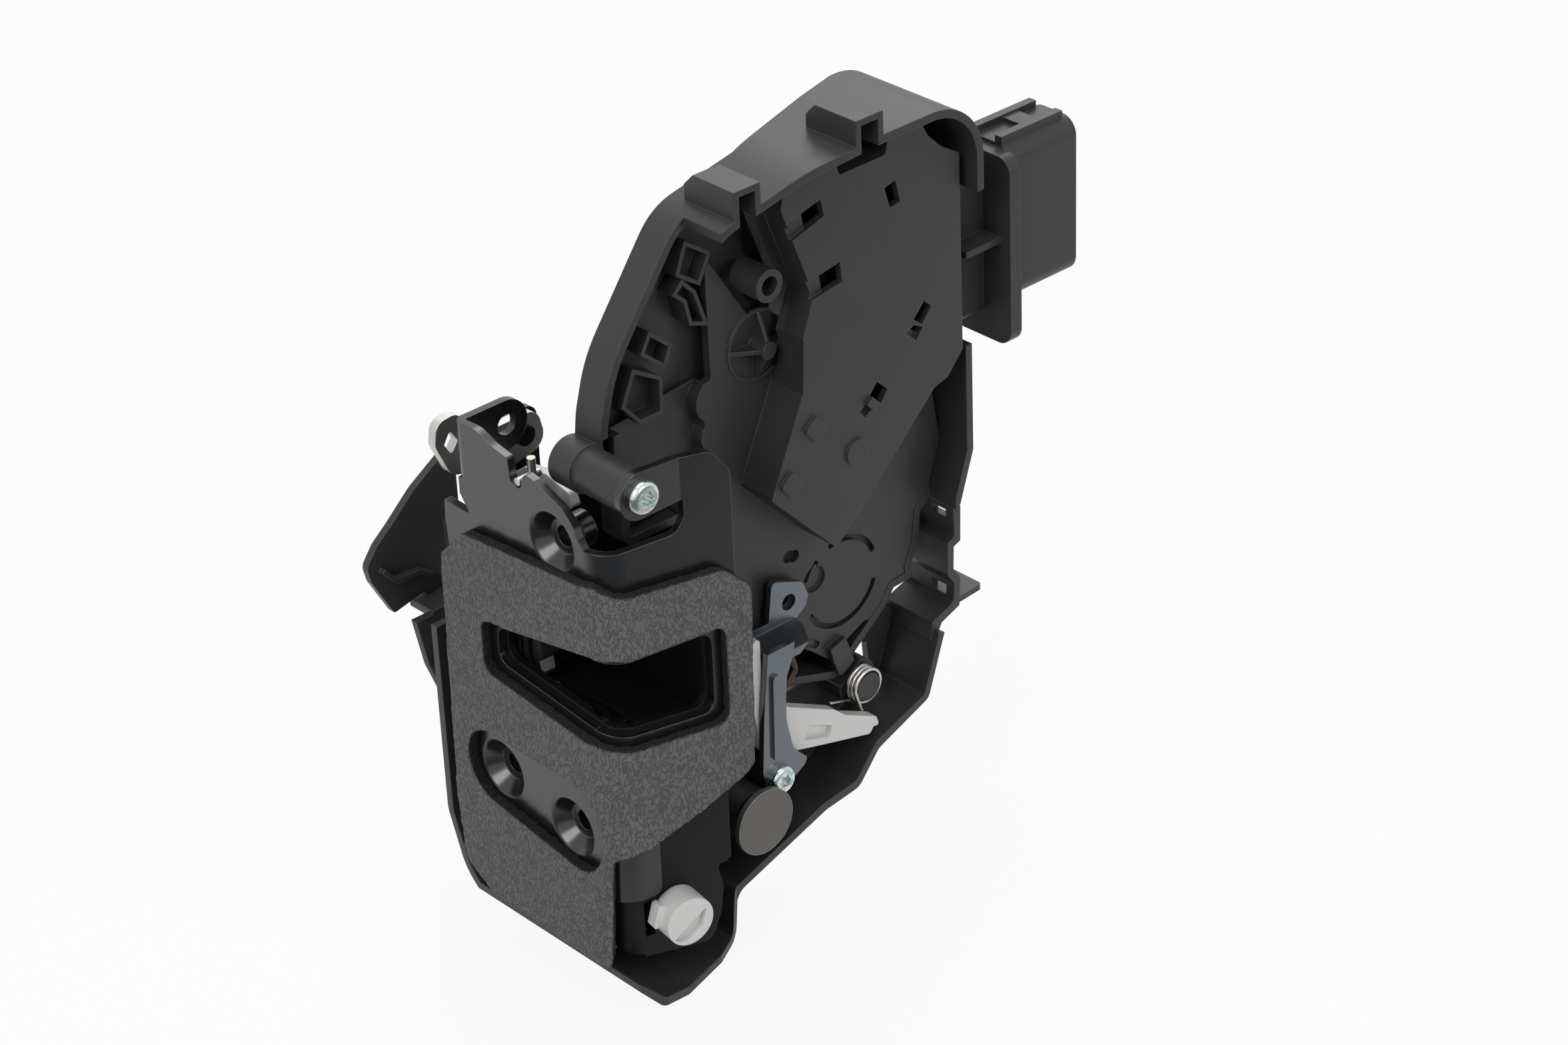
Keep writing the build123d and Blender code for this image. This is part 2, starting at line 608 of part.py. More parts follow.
def tub_depth(inset):
    """Outline (x, y) of the drive housing's back, seen from above."""
    x0, x1 = TUB_SLOPE_X
    return outline([
        (-20, -40), (-20, TUB_BACK_Y - inset), (x0, TUB_BACK_Y - inset),
        (x1, TUB_DEEP_Y - inset, 8), (140, TUB_DEEP_Y - inset), (140, -40),
    ])


CLIPS = [(38.9, 46.6, 74.4), (75.0, 83.2, 78.8)]


def plateau_face():
    """Outline (x, z) of the cover's raised part."""
    return outline([
        (46.5, 64.5, 1), (53.4, 68.4), (71, 69.9), (72.5, 66.0), (86.5, 66.0), (87.5, 70.4),
        (97.3, 70.4), (99.7, 66.1), (104, 61.9), (109.3, 58.8), (109.5, 8.9), (104.5, 3.5),
        (100.2, 2.4), (88.7, -8.2), (68.1, -26.6), (45.7, -6.4, 3), (64.5, 14.5, 7),
        (63.4, 32.7, 6), (47.6, 50),
    ], 1.2)


def actuator_housing():
    face = tub_face()
    body = xz(face, TUB_TOP_Y, 20) & xy(tub_depth(0), -100, 100)
    inside = xz(grown(face, -WALL), -40, 20) & xy(tub_depth(WALL), -100, 100)
    body += rod_y(TAB_SCREW_XZ, LUG_R, TUB_LEFT_Y, TUB_BACK_Y)
    body -= inside
    body -= box((-20, TUB_STEP_X), (-40, TUB_LEFT_Y), (-80, 90))
    body -= box((104, 130), (-40, TUB_RIGHT_Y), (-80, 49))
    body -= box((104, 130), (-40, TUB_NECK_Y), (8, 49))
    body -= box((-20, 108), (-40, COVER_Y), (-80, 22))
    # Post that reaches the steel tab
    tab_y = CORNER_Y - (TAB_ROOT_X - PLATE_X) * tan(radians(FACE_TURN)) + PLATE_T
    body += rod_y(TAB_SCREW_XZ, LUG_R - 0.6, tab_y, COVER_Y + 1)
    body -= rod_y(TAB_SCREW_XZ, SCREW_R, tab_y - 1, tab_y + 14)
    for x_low, x_high, z_top in CLIPS:
        length = (TUB_TOP_Y, TUB_TOP_Y + 16)
        profile = outline([(length[0], 64), (length[0], z_top), (length[1] - 3, z_top),
                           (length[1], z_top - 3), (length[1], 64)])
        body += yz(profile, x_low, x_high) - inside
        hollow = outline([(length[0] - 2, 60), (length[0] - 2, z_top - 1.5),
                          (length[1] - 4, z_top - 1.5), (length[1] - 2, z_top - 4),
                          (length[1] - 2, 60)])
        body -= yz(hollow, x_low + 1.5, x_high - 1.5)
    # Hook beside the neck
    body += box((TUB_RIGHT_X - 1, TUB_RIGHT_X + 4), (TUB_TOP_Y + 4, TUB_BACK_Y), (49, 51))
    # Post for the cover and bearing of the worm wheel
    body += rod_y((BOSS_XZ[0], BOSS_XZ[1]), 3.4, COVER_Y + COVER_T, TUB_BACK_Y)
    wheel_back = 9.0
    body += rod_y(RING_XZ, 4.6, WHEEL_Y[1] + SIDE_GAP, wheel_back)
    body += rod_y(RING_XZ, 2.5, COVER_Y + COVER_T + SIDE_GAP, wheel_back)
    return body


def actuator_cover():
    face = grown(tub_face(), -(WALL + SIDE_GAP))
    face = face - outline([(-10, -100), (13, -100), (13, 100), (-10, 100)])
    body = xz(face, COVER_Y, COVER_Y + COVER_T)
    hump = plateau_face()
    body += xz(hump, PLATEAU_Y, COVER_Y + 0.5)
    body -= xz(grown(hump, -WALL), PLATEAU_Y + WALL, COVER_Y + COVER_T + 1)
    # Lower strip along the left rim, with a scalloped edge
    strip = outline([
        (13, -8), (13, 30), (17, 38), (34, 63), (41, 63), (38, 52), (38, 40), (33, 30), (36, 26),
        (36, 4), (30, -8),
    ], 1.0)
    for x, z in ((37, 23), (36.6, 15.5), (37, 8.5)):
        strip -= disc((x, z), 3.2)
    body -= xz(strip, COVER_Y - 1, COVER_Y + 1.1)
    for x, z, size in ((38.0, 54.0, 4.2), (36.0, 42.0, 4.6), (28.0, 35.5, 3.6), (22.0, 27.5, 4.6)):
        rim = Pos(x, z) * Rot(0, 0, 20) * RegularPolygon(size + 1.0, 5)
        pit = Pos(x, z) * Rot(0, 0, 20) * RegularPolygon(size, 5)
        body += xz(rim, COVER_Y, COVER_Y + COVER_T)
        body -= xz(pit, COVER_Y - 1, COVER_Y + COVER_T - 0.8)
    # Boss tube
    body += rod_y(BOSS_XZ, BOSS_R, COVER_Y - BOSS_PROUD, COVER_Y + 1)
    body -= rod_y(BOSS_XZ, 2.3, COVER_Y - BOSS_PROUD - 1, COVER_Y + COVER_T + 1)
    # Round seat with its cross
    body += rod_y(CROSS_XZ, CROSS_R, COVER_Y - 0.5, COVER_Y + 1) - rod_y(CROSS_XZ, CROSS_R - 0.8, -9, 9)
    body += rod_y(CROSS_XZ, 2.1, COVER_Y - 4.5, COVER_Y + 1)
    for turn in (20, 110, 200, 290):
        rib = outline([(1.0, 0), (CROSS_R - 0.6, 0), (CROSS_R - 0.6, 0.6), (1.0, 4.3)])
        rib = slab(rib, Plane.XY, -0.5, 0.5)
        spun = Rot(0, -turn, 0) * Rot(90, 0, 0) * rib
        body += Pos(CROSS_XZ[0], COVER_Y + 0.05, CROSS_XZ[1]) * spun
    # Grooved ring over the worm wheel
    for outer_r in (RING_R, 5.6):
        groove = rod_y(RING_XZ, outer_r, COVER_Y - 1, COVER_Y + 0.8)
        body -= groove - rod_y(RING_XZ, outer_r - 0.9, -10, 10)
    body -= rod_y((61.7, -30.1), 1.7, -8, 5)
    # Slots in the plateau
    slots = [
        [(56.5, 59.8), (66.6, 62.2), (67.6, 57.8), (57.5, 55.0)],
        [(60.7, 43.3), (71.8, 45.1), (72.4, 40.0), (61.8, 38.5)],
        [(85.9, 58.1), (89.3, 58.9), (90.7, 53.0), (87.4, 52.8)],
        [(92.1, 20.3), (98.0, 25.2), (99.8, 24.5), (94.7, 16.5)],
        [(77.1, 4.7), (82.2, 10.6), (85.6, 7.5), (78.4, 2.8)],
    ]
    for index, corners in enumerate(slots):
        depth = WALL - 0.8 if index < 2 else WALL + 1
        body -= xz(outline(corners), PLATEAU_Y - 1, PLATEAU_Y + depth)
        if index < 2:
            middle = [((a[0] + b[0]) / 2, (a[1] + b[1]) / 2) for a, b in zip(corners, corners[1:])]
            half = outline([middle[0], corners[1], corners[2], middle[2]])
            body -= xz(half, PLATEAU_Y - 1, PLATEAU_Y + WALL + 1)
    # Raised pads
    body += rod_y((73.5, -11.5), 3.0, PLATEAU_Y - 0.7, PLATEAU_Y + 0.5)
    for x, z in ((62.3, -4.0), (54.8, -12.3)):
        pad = outline([(x - 3, z - 2.6), (x - 0.6, z + 4), (x + 3, z + 2.6), (x + 0.6, z - 4)], 1.2)
        body += xz(pad, PLATEAU_Y - 0.9, PLATEAU_Y + 0.5)
    # Seat of the bracket
    body += rod_y(BRACKET_HOLE_XZ, 4.2, BRACKET_TOP_Y + BRACKET_T, COVER_Y + 1)
    body -= rod_y(BRACKET_HOLE_XZ, 1.4, -20, 10)
    return body


BRACKET_HOLE_XZ = (59.3, -40.6)


def connector_carrier():
    y_low, y_high = SOCKET_Y
    z_low, z_high = SOCKET_Z
    flange = outline([(-13.5, 3, 4), (-13.5, 51, 4), (8, 51, 4), (8, 3, 4)])
    body = yz(flange, FLANGE_X, FLANGE_X + FLANGE_T)
    neck = outline([(TUB_NECK_Y + 0.4, 9, 2), (TUB_NECK_Y + 0.4, 48, 2), (7, 48, 2), (7, 9, 2)])
    body += yz(neck, TUB_RIGHT_X, FLANGE_X)
    body += box((TUB_RIGHT_X, FLANGE_X), (-10.5, TUB_NECK_Y + 1), (29.2, 30.8))
    block = outline([(y_low, z_low, 4.5), (y_low, z_high, 4.5), (y_high, z_high, 4.5),
                     (y_high, z_low, 4.5)])
    body += yz(block, FLANGE_X + FLANGE_T, SOCKET_X)
    for y in (-7.4, 1.0):
        body += box((FLANGE_X + FLANGE_T, SOCKET_X - 2), (y, y + 2.2), (z_high - 1, z_high + 1.8))
    body += box((138, 143), (-5.2, 1.0), (z_high - 1, z_high + 1.2))
    body -= yz(grown(block, -SOCKET_WALL), SOCKET_X - SOCKET_DEPTH, SOCKET_X + 1)
    return body


def terminal_pins():
    """Two rows of flat pins on one carrier strip, in the floor of the socket."""
    x_floor = SOCKET_X - SOCKET_DEPTH
    middle = (SOCKET_Y[0] + SOCKET_Y[1]) / 2
    strip = box((x_floor, x_floor + 1.0), (middle - 4.4, middle + 4.4), (SOCKET_Z[0] + 6, SOCKET_Z[1] - 6))
    pins = strip
    for row in (-2.6, 2.6):
        for index in range(6):
            z = SOCKET_Z[0] + 9.5 + index * 4.2
            pins += box((x_floor, x_floor + 10), (middle + row - 0.35, middle + row + 0.35), (z - 0.7, z + 0.7))
    return pins


def shell_face():
    """Outline (x, z) of the back shell."""
    return outline([
        (SHELL_RIM_X, -40), (SHELL_RIM_X, -109.5), (1.5, -117, 4), (11, -119.7, 4), (32.4, -118.6, 4),
        (34.4, -107, 4), (63.2, -97.6, 6), (74.2, -96.3, 4), (80.9, -88.5, 3), (97.8, -82.0, 3),
        (103.5, -66), (94, -61.5), (87.5, -65.5), (77, -73.0), (50, -73.0), (22, -57), (22, -40),
    ])


def shell_depth(inset):
    """Outline (x, y) of the back shell, seen from above."""
    w = SHELL_WALL if inset else 0.0
    far = 200 if inset else 0
    return outline([
        (SHELL_RIM_X - far, -40), (SHELL_RIM_X - far, SHELL_LEFT_Y - w), (20 - w * 0.3, SHELL_LEFT_Y - w, 6),
        (50 - w * 0.3, SHELL_PANEL_Y - w, 5), (130, SHELL_PANEL_Y - w), (130, -40),
    ])


def shell_side(inset):
    """Outline (y, z) of the back shell, seen from the shut face."""
    face = outline([
        (-80, 60), (SHELL_LEFT_Y, 60), (SHELL_LEFT_Y, -91, 8), (SHELL_LEFT_Y - 5, -105.5, 14),
        (SHELL_LEFT_Y - 14, -114, 14), (SHELL_LEFT_Y - 30, -124), (-80, -124),
    ])
    return grown(face, -inset) if inset else face


def back_shell():
    face = shell_face()
    body = xz(face, -30, 60) & xy(shell_depth(False), -130, -30) & yz(shell_side(0), -20, 140)
    open_face = outline([
        (-30, 0), (-30, -107.5), (SHELL_RIM_X, -107.5), (2.5, -115.1, 2), (11.2, -117.6, 2),
        (30.8, -116.7, 2), (32.8, -105.4, 2), (62.6, -95.5, 4), (73.4, -94.2, 3), (80.2, -86.3, 1),
        (96.4, -80.5, 1), (101.6, -66), (101.6, 0),
    ])
    body -= xz(open_face, -60, 80) & xy(shell_depth(True), -140, 20) & yz(shell_side(SHELL_WALL), -40, 150)
    body -= xy(outline([(-30, -60), (-30, -22), (3, -22), (24, -17), (34, SHELL_FRONT_Y),
                        (140, SHELL_FRONT_Y), (140, -60)]), -140, 0)
    # Flared top of the left wall, and the wing behind it
    flare = outline([(43.6, -57), (45.6, -57), (49.6, -52.4), (53.2, -42), (51.2, -42), (47.6, -52.4)])
    body += yz(flare, SHELL_RIM_X, 12)
    body += box((0, 12), (51.2, WING_Y + WING_T), (-43.2, -41.2))
    wing = outline([
        (13, -6, 3), (2.6, -12.5, 10), (-4.6, -18.9, 10), (-9.2, -22.6, 5), (-12.6, -27.1, 3),
        (-11.6, -31.4, 4), (-6.1, -41.8, 0.8), (2.3, -40.0), (12, -43.2), (15, -38), (15, -8),
    ])
    body += xz(wing, WING_Y, WING_Y + WING_T)
    for run in ([(-8.6, -28.4), (-5.3, -32.2), (-5.3, -33.6), (-9.4, -29.2)],
                [(-5.3, -32.2), (1.5, -32.6), (5.0, -35.0), (4.4, -36.0), (1.2, -33.8), (-5.3, -33.6)]):
        body += xz(outline(run), WING_Y - 1.6, WING_Y + 0.5)
    # Right lower wall with its snap windows
    wall = outline([
        (109.0, -34.2), (111.4, -35.1), (111.2, -44.6), (109.0, -45.4), (108.8, -51.6),
        (111.0, -54.7), (110.6, -62.4), (104.6, -64.6), (103.2, -67.0), (100.6, -68.0),
        (101.4, -63.2), (108.6, -60.8), (109.0, -55.6), (106.8, -52.4), (107.0, -43.8), (109.2, -42.8),
    ])
    body += xz(wall, -10, SHELL_PANEL_Y)
    for z_low, z_high in ((-38.4, -36.2), (-59.6, -57.0)):
        body -= box((104, 114), (-7.4, -2.6), (z_low, z_high))
    flange = outline([(108, -10, 0), (119, -9.2, 1), (119, 3.6, 1), (108, 5.8, 0)])
    body += xy(flange, -61.8, -60.3)
    # See-through window and the round mark in the rear panel
    window = outline([(86.6, -67.6), (92.9, -71.0), (93.5, -78.6), (89.3, -79.6), (86.8, -78.1)])
    body -= xz(window, 0, 20)
    # Posts: stud, bracket foot, spring and lever pin
    back = SHELL_PANEL_Y + 16
    inner = xz(face, -30, 60) & xy(shell_depth(False), -130, -30)
    posts = rod_y(STUD_XZ, 6.4, -13.0, back + 6) - rod_y(STUD_XZ, 3.2, -20, 2)
    posts += rod_y(FOOT_SCREW_XZ, 4.0, BRACKET_LOW_Y + BRACKET_T, back) - rod_y(FOOT_SCREW_XZ, 1.5, -20, 0)
    posts += rod_y(SPRING_XZ, SPRING_R - SPRING_WIRE_R - 0.3, LEVER_Y + LEVER_T + SIDE_GAP, SHELL_PANEL_Y)
    posts += rod_y(SPRING_XZ, SPRING_R + 1.4, SPRING_Y + 4.0, SHELL_PANEL_Y)
    posts += rod_y(LEVER_PIVOT_XZ, 5.5, LEVER_Y + LEVER_T + SIDE_GAP, SHELL_PANEL_Y + 12) \
        - rod_y(LEVER_PIVOT_XZ, LEVER_PIN_R - 0.7, -20, 2)
    body += posts & inner
    return body


def support_bracket():
    top = outline([
        (54.2, -33.1, 1.5), (63.7, -36.9, 2), (65.5, -41.1, 1), (64.7, -43.8), (61, -46.3), (61, -49),
        (52.1, -49),
    ])
    low = outline([
        (45.9, -46.0), (54.4, -46.0), (54.0, -48.8), (51.5, -54.6, 3), (51, -60.5), (50.9, -65.9, 4),
        (52.7, -74.6, 4), (57, -79, 1), (56.1, -80.6), (50, -84, 3), (44.5, -84, 3), (43, -77.4, 2),
        (44, -62.7),
    ])
    body = xz(top, BRACKET_TOP_Y, BRACKET_TOP_Y + BRACKET_T)
    low_y = (BRACKET_LOW_Y, BRACKET_LOW_Y + BRACKET_T)
    body += xz(low, *low_y)
    joggle = outline([
        (BRACKET_TOP_Y, -43.5), (BRACKET_TOP_Y + BRACKET_T, -44.0), (BRACKET_TOP_Y + BRACKET_T, -47.4),
        (low_y[1], -50.0), (low_y[0], -50.0), (low_y[0], -48.0), (BRACKET_TOP_Y, -45.4),
    ])
    web = outline([(53.0, -30), (62.5, -30), (61.0, -46.5), (54.0, -51.5), (46.2, -51.5), (46.4, -46.5)])
    body += yz(joggle, 44, 64) & xz(web, -20, 0)
    body += xz(outline([(46.6, -52, 1.2), (49.0, -52, 1.2), (48.4, -75, 1.2), (46.0, -75, 1.2)]),
               low_y[0] - 0.8, low_y[0] + 0.5)
    body -= rod_y(BRACKET_HOLE_XZ, 2.05, -20, 5)
    body -= rod_y(FOOT_SCREW_XZ, 1.8, -20, 5)
    return body


def pan_screw(centre, face_y, head_r, head_h, shank_r, length):
    """Pan head screw along +Y, with a six-lobe recess."""
    head = rod_y(centre, head_r, face_y - head_h, face_y)
    head = fillet(head.edges().sort_by(Axis.Y)[0], head_h * 0.55)
    body = head + rod_y(centre, shank_r, face_y, face_y + length)
    recess = Circle(head_r * 0.36)
    for index in range(6):
        lobe = polar((0, 0), head_r * 0.36, index * 60)
        recess += disc(lobe, head_r * 0.11)
    return body - xz(Pos(*centre) * recess, face_y - head_h - 1, face_y - head_h + 1.4)


def release_lever():
    face = outline([
        (45.5, -41.4, 1), (41.6, -44, 1), (41.8, -56, 3), (45.2, -74.2, 4), (50.0, -75.4, 2), (54.6, -77.2, 2),
        (66.7, -80.6), (79.2, -84.0, 1), (80.2, -82.4), (82.2, -82.8, 1), (81.3, -80.0, 1),
        (71.4, -75.1), (68, -72, 2), (53.5, -64.5, 4), (45.5, -57, 4),
    ])
    body = xz(face, LEVER_Y, LEVER_Y + LEVER_T)
    body += rod_y(LEVER_PIVOT_XZ, 5.4, LEVER_Y, LEVER_Y + LEVER_T)
    body -= xz(outline([(60, -72.6), (67, -75.8), (66, -78.6), (58, -76)], 0.6), LEVER_Y - 1, LEVER_Y + 1.4)
    body -= rod_y(LEVER_PIVOT_XZ, LEVER_PIN_R + RUN_GAP, -20, 5)
    return body


def release_lever_pin():
    """Headed pin of the white lever, pressed into its post."""
    post = LEVER_Y + LEVER_T + SIDE_GAP
    body = rod_y(LEVER_PIVOT_XZ, LEVER_PIN_R, LEVER_Y - 0.2, post)
    return body + rod_y(LEVER_PIVOT_XZ, LEVER_PIN_R - 0.7, post, 1)


def lever_spring():
    """Torsion spring round its post, with a leg on the white lever and one on the shell."""
    x, z = SPRING_XZ
    pitch = 2 * SPRING_WIRE_R + 0.3
    start_y = SPRING_Y + SPRING_WIRE_R
    coil = None
    for index in range(SPRING_TURNS):
        ring = Pos(x, start_y + pitch * index, z) * Rot(90, 0, 0) * Torus(SPRING_R, SPRING_WIRE_R)
        coil = ring if coil is None else coil + ring
    bar = box((x - SPRING_R - SPRING_WIRE_R * 0.7, x - SPRING_R + SPRING_WIRE_R * 0.7),
              (start_y, start_y + pitch * (SPRING_TURNS - 1)), (z - 0.35, z + 0.35))
    coil += bar
    first = polar(SPRING_XZ, SPRING_R, 200)
    leg = Line((first[0], start_y, first[1]), (73.0, LEVER_Y + 1.2, -75.2))
    coil += sweep(Plane(origin=leg @ 0, z_dir=leg % 0) * Circle(SPRING_WIRE_R), path=leg)
    return coil


def pivot_stud():
    x, z = STUD_XZ
    body = rod_y(STUD_XZ, STUD_R, STUD_Y, STUD_Y + 1.5)
    body += rod_y(STUD_XZ, 4.4, STUD_Y + 1.5, -13.0)
    return body + rod_y(STUD_XZ, 3.2, -13.0, 2)


def wire_hook():
    """Bent wire that links the bracket to the drive."""
    r = 0.9
    y = BRACKET_LOW_Y + BRACKET_T + SIDE_GAP + r
    path = FilletPolyline((51.0, COVER_Y, -52.4), (51.0, y, -52.4), (55.4, y, -51.8), (56.4, y, -55.6),
                          (53.6, y, -58.6), radius=1.2)
    return sweep(Plane(origin=path @ 0, z_dir=path % 0) * Circle(r), path=path)


def outside_release_lever():
    x, z = OUTER_PIVOT_XZ
    face = outline([
        (-3.4, 8.0, 3), (-2.6, 13.6, 3), (3.6, 14.2, 3), (6.4, 8.5, 3), (15, 6.2, 4), (26, 6.4, 4),
        (28.2, -3, 4), (18, -5.5, 4), (8, -2.5, 6), (0.5, -0.8, 4),
    ], 2)
    body = xz(face, OUTER_Y, OUTER_Y + OUTER_T)
    hole = outline([(-0.9, 7.6), (1.0, 10.6), (3.0, 7.4), (1.0, 4.6)], 0.5)
    body -= xz(hole, OUTER_Y - 5, OUTER_Y + 5)
    return body - rod_y(OUTER_PIVOT_XZ, LEVER_PIN_R + RUN_GAP, 20, 60)


def outside_lever_bracket():
    """Black steel arm behind the backplate that carries the outside lever's pin."""
    x, z = OUTER_PIVOT_XZ
    y = OUTER_Y + OUTER_T + SIDE_GAP
    arm = outline([(x - 6, z + 5, 3), (x + 6, z + 5, 3), (x + 6, -24, 3), (x - 6, -24, 3)])
    body = xz(arm, y, y + 2)
    foot_x = LINER_DEPTH + BACKPLATE_T
    body += box((foot_x, x - 4), (y, y + 2), (-24, -14))
    foot = box((foot_x, foot_x + 2), (30.0, y + 2), (-24, -14))
    body += rod_y(OUTER_PIVOT_XZ, LEVER_PIN_R, OUTER_Y - 0.8, y + 1)
    return body + foot


def link_lever():
    y, z = LINK_PIVOT_YZ
    face = outline([
        (26.5, -2, 3), (25.5, 3.2, 2), (22, 5.8, 2), (14.4, 6.9, 3), (7.0, 5.0, 1), (5.6, 1.4, 1),
        (14, -1.0, 3), (17.5, -5.6, 3), (26.0, -5.6, 3),
    ])
    body = yz(face, LINK_X, LINK_X + LINK_T)
    return body - rod_x(LINK_PIVOT_YZ, 2.0 + RUN_GAP, 0, 20)


def link_lever_pin():
    """Stepped pin on a strap that stands up from the backplate."""
    y, z = LINK_PIVOT_YZ
    back = LINK_X + LINK_T + SIDE_GAP
    strap = outline([(y - 4, -13.2), (y + 4, -13.2), (y + 4, z + 3, 3), (y - 4, z + 3, 3)])
    foot_x = LINER_DEPTH + BACKPLATE_T
    body = yz(strap, foot_x, foot_x + 1.4) - rod_x(CLAW_YZ, PIN_END_R + 1.4, 0, 30)
    return body + rod_x(LINK_PIVOT_YZ, 2.0, LINK_X - 0.6, foot_x + 0.5)


def notch_pin():
    """Small pin in the notch at the plate's top edge."""
    return rod_x((11.2, 10.5), 1.0, PLATE_X + 0.4, 3) + Pos(1.0, 11.2, 0) * xy(Circle(1.0), 9.5, 15.0)


def lock_motor():
    width, depth, height = MOTOR_SIZE
    x = RING_XZ[0] + WORM_X_GAP
    y = sum(WHEEL_Y) / 2
    body = Pos(x, y, MOTOR_LOW_Z + height / 2) * Box(width, depth, height)
    body = fillet(body.edges().filter_by(Axis.Z), 3.0)
    body += Pos(x, y, MOTOR_LOW_Z - 1.0) * Cylinder(3.0, 2.0)
    return body


def worm_profile(z_low, z_high):
    """Worm as a turned shaft with ring teeth, which roll through the wheel's gaps."""
    pitch = 2 * pi * WHEEL_R / WHEEL_TEETH
    half = (WORM_R - 1.7)
    points = [(0, z_low), (half, z_low)]
    count = int((z_high - z_low) / pitch)
    start = RING_XZ[1] - pitch * count / 2
    for index in range(count):
        z = start + pitch * index
        points += [(half, z + 0.30 * pitch), (WORM_R - 0.15, z + 0.42 * pitch),
                   (WORM_R - 0.15, z + 0.58 * pitch), (half, z + 0.70 * pitch)]
    points += [(half, z_high), (0, z_high)]
    return outline(points)


def motor_worm():
    x = RING_XZ[0] + WORM_X_GAP
    y = sum(WHEEL_Y) / 2
    worm_low, worm_high = RING_XZ[1] - 6.3, RING_XZ[1] + 6.3
    shaft_high = MOTOR_LOW_Z - 2.0
    section = Plane.XZ * worm_profile(worm_low, worm_high)
    worm = Pos(x, y, 0) * revolve(section, Axis.Z)
    shaft = xy(Pos(x, y) * Circle(SHAFT_R), worm_high, shaft_high)
    return worm + shaft


def worm_wheel():
    """Toothed wheel under the cover's grooved ring, with its crank pin."""
    module = 2 * WHEEL_R / WHEEL_TEETH
    root = WHEEL_R - 1.15 * module
    tip = WHEEL_R + 0.75 * module
    face = Circle(root)
    half = 360 / WHEEL_TEETH
    for index in range(WHEEL_TEETH):
        angle = index * half + half / 2
        face += outline([
            polar((0, 0), root - 0.5, angle - 0.27 * half), polar((0, 0), tip, angle - 0.10 * half),
            polar((0, 0), tip, angle + 0.10 * half), polar((0, 0), root - 0.5, angle + 0.27 * half),
        ])
    wheel = xz(Pos(*RING_XZ) * face, *WHEEL_Y)
    wheel += rod_y(RING_XZ, 4.0, COVER_Y + COVER_T + SIDE_GAP, WHEEL_Y[1])
    crank = polar(RING_XZ, 6.6, 150)
    wheel += rod_y(crank, 1.4, COVER_Y + COVER_T + SIDE_GAP, WHEEL_Y[0] + 0.5)
    return wheel - rod_y(RING_XZ, 2.5 + RUN_GAP, -10, 20)


def circuit_board():
    """Board with the position switches, in the plateau."""
    board = outline([(70, 30), (104, 30), (106.5, 34), (106.5, 57), (100, 61), (70, 61)], 1)
    body = xz(board, PLATEAU_Y + WALL + 3, PLATEAU_Y + WALL + 4.6)
    for x in (76, 88):
        body += box((x, x + 8), (PLATEAU_Y + WALL + 4.6, PLATEAU_Y + WALL + 9), (34, 40))
    for x, z in ((73, 58), (102, 33)):
        body += rod_y((x, z), 1.6, PLATEAU_Y + WALL, PLATEAU_Y + WALL + 3.2)
    return body


NODES = {
    "latch_plate": latch_plate,
    "foam_seal": foam_seal,
    "latch_housing": latch_housing,
    "latch_backplate": latch_backplate,
    "claw": claw,
    "claw_overmould": claw_overmould,
    "claw_pin": lambda: pin(CLAW_YZ, PIN_R, PIN_END_R),
    "claw_spring": lambda: coil_x(CLAW_YZ, PIN_R + 1.0, COIL_WIRE_R, COIL_X, (-30, 12.5, 25)),
    "pawl": pawl,
    "pawl_pin": lambda: pin(PAWL_YZ, PAWL_PIN_R, PAWL_PIN_END_R),
    "pawl_spring": lambda: coil_x(PAWL_YZ, PAWL_PIN_R + 1.4, COIL_WIRE_R, COIL_X, (200, 10.5, 25)),
    "child_lock_knob": child_lock_knob,
    "actuator_housing": actuator_housing,
    "actuator_cover": actuator_cover,
    "connector_carrier": connector_carrier,
    "terminal_pins": terminal_pins,
    "back_shell": back_shell,
    "support_bracket": support_bracket,
    "bracket_screw": lambda: pan_screw(FOOT_SCREW_XZ, BRACKET_LOW_Y, 3.6, 2.2, 1.5, 9),
    "housing_screw": lambda: pan_screw(
        TAB_SCREW_XZ, CORNER_Y - (TAB_ROOT_X - PLATE_X) * tan(radians(FACE_TURN)), 4.0, 2.4, SCREW_R, 11),
    "release_lever": release_lever,
    "release_lever_pin": release_lever_pin,
    "lever_spring": lever_spring,
    "pivot_stud": pivot_stud,
    "wire_hook": wire_hook,
    "outside_release_lever": outside_release_lever,
    "outside_lever_bracket": outside_lever_bracket,
    "link_lever": link_lever,
    "link_lever_pin": link_lever_pin,
    "notch_pin": notch_pin,
    "lock_motor": lock_motor,
    "motor_worm": motor_worm,
    "worm_wheel": worm_wheel,
    "circuit_board": circuit_board,
}

if __name__ == "__main__":
    os.makedirs("parts", exist_ok=True)
    for name, build in NODES.items():
        shape = build()
        solids = shape.solids()
        print(name, len(solids), round(sum(s.volume for s in solids), 1), flush=True)
        export_step(solids[0] if len(solids) == 1 else Compound(children=list(solids)),
                    os.path.join("parts", name + ".step"))
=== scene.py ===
import math

import bmesh
import bpy
from bpy.props import FloatProperty, FloatVectorProperty, IntProperty, PointerProperty
from mathutils import Matrix, Vector, noise


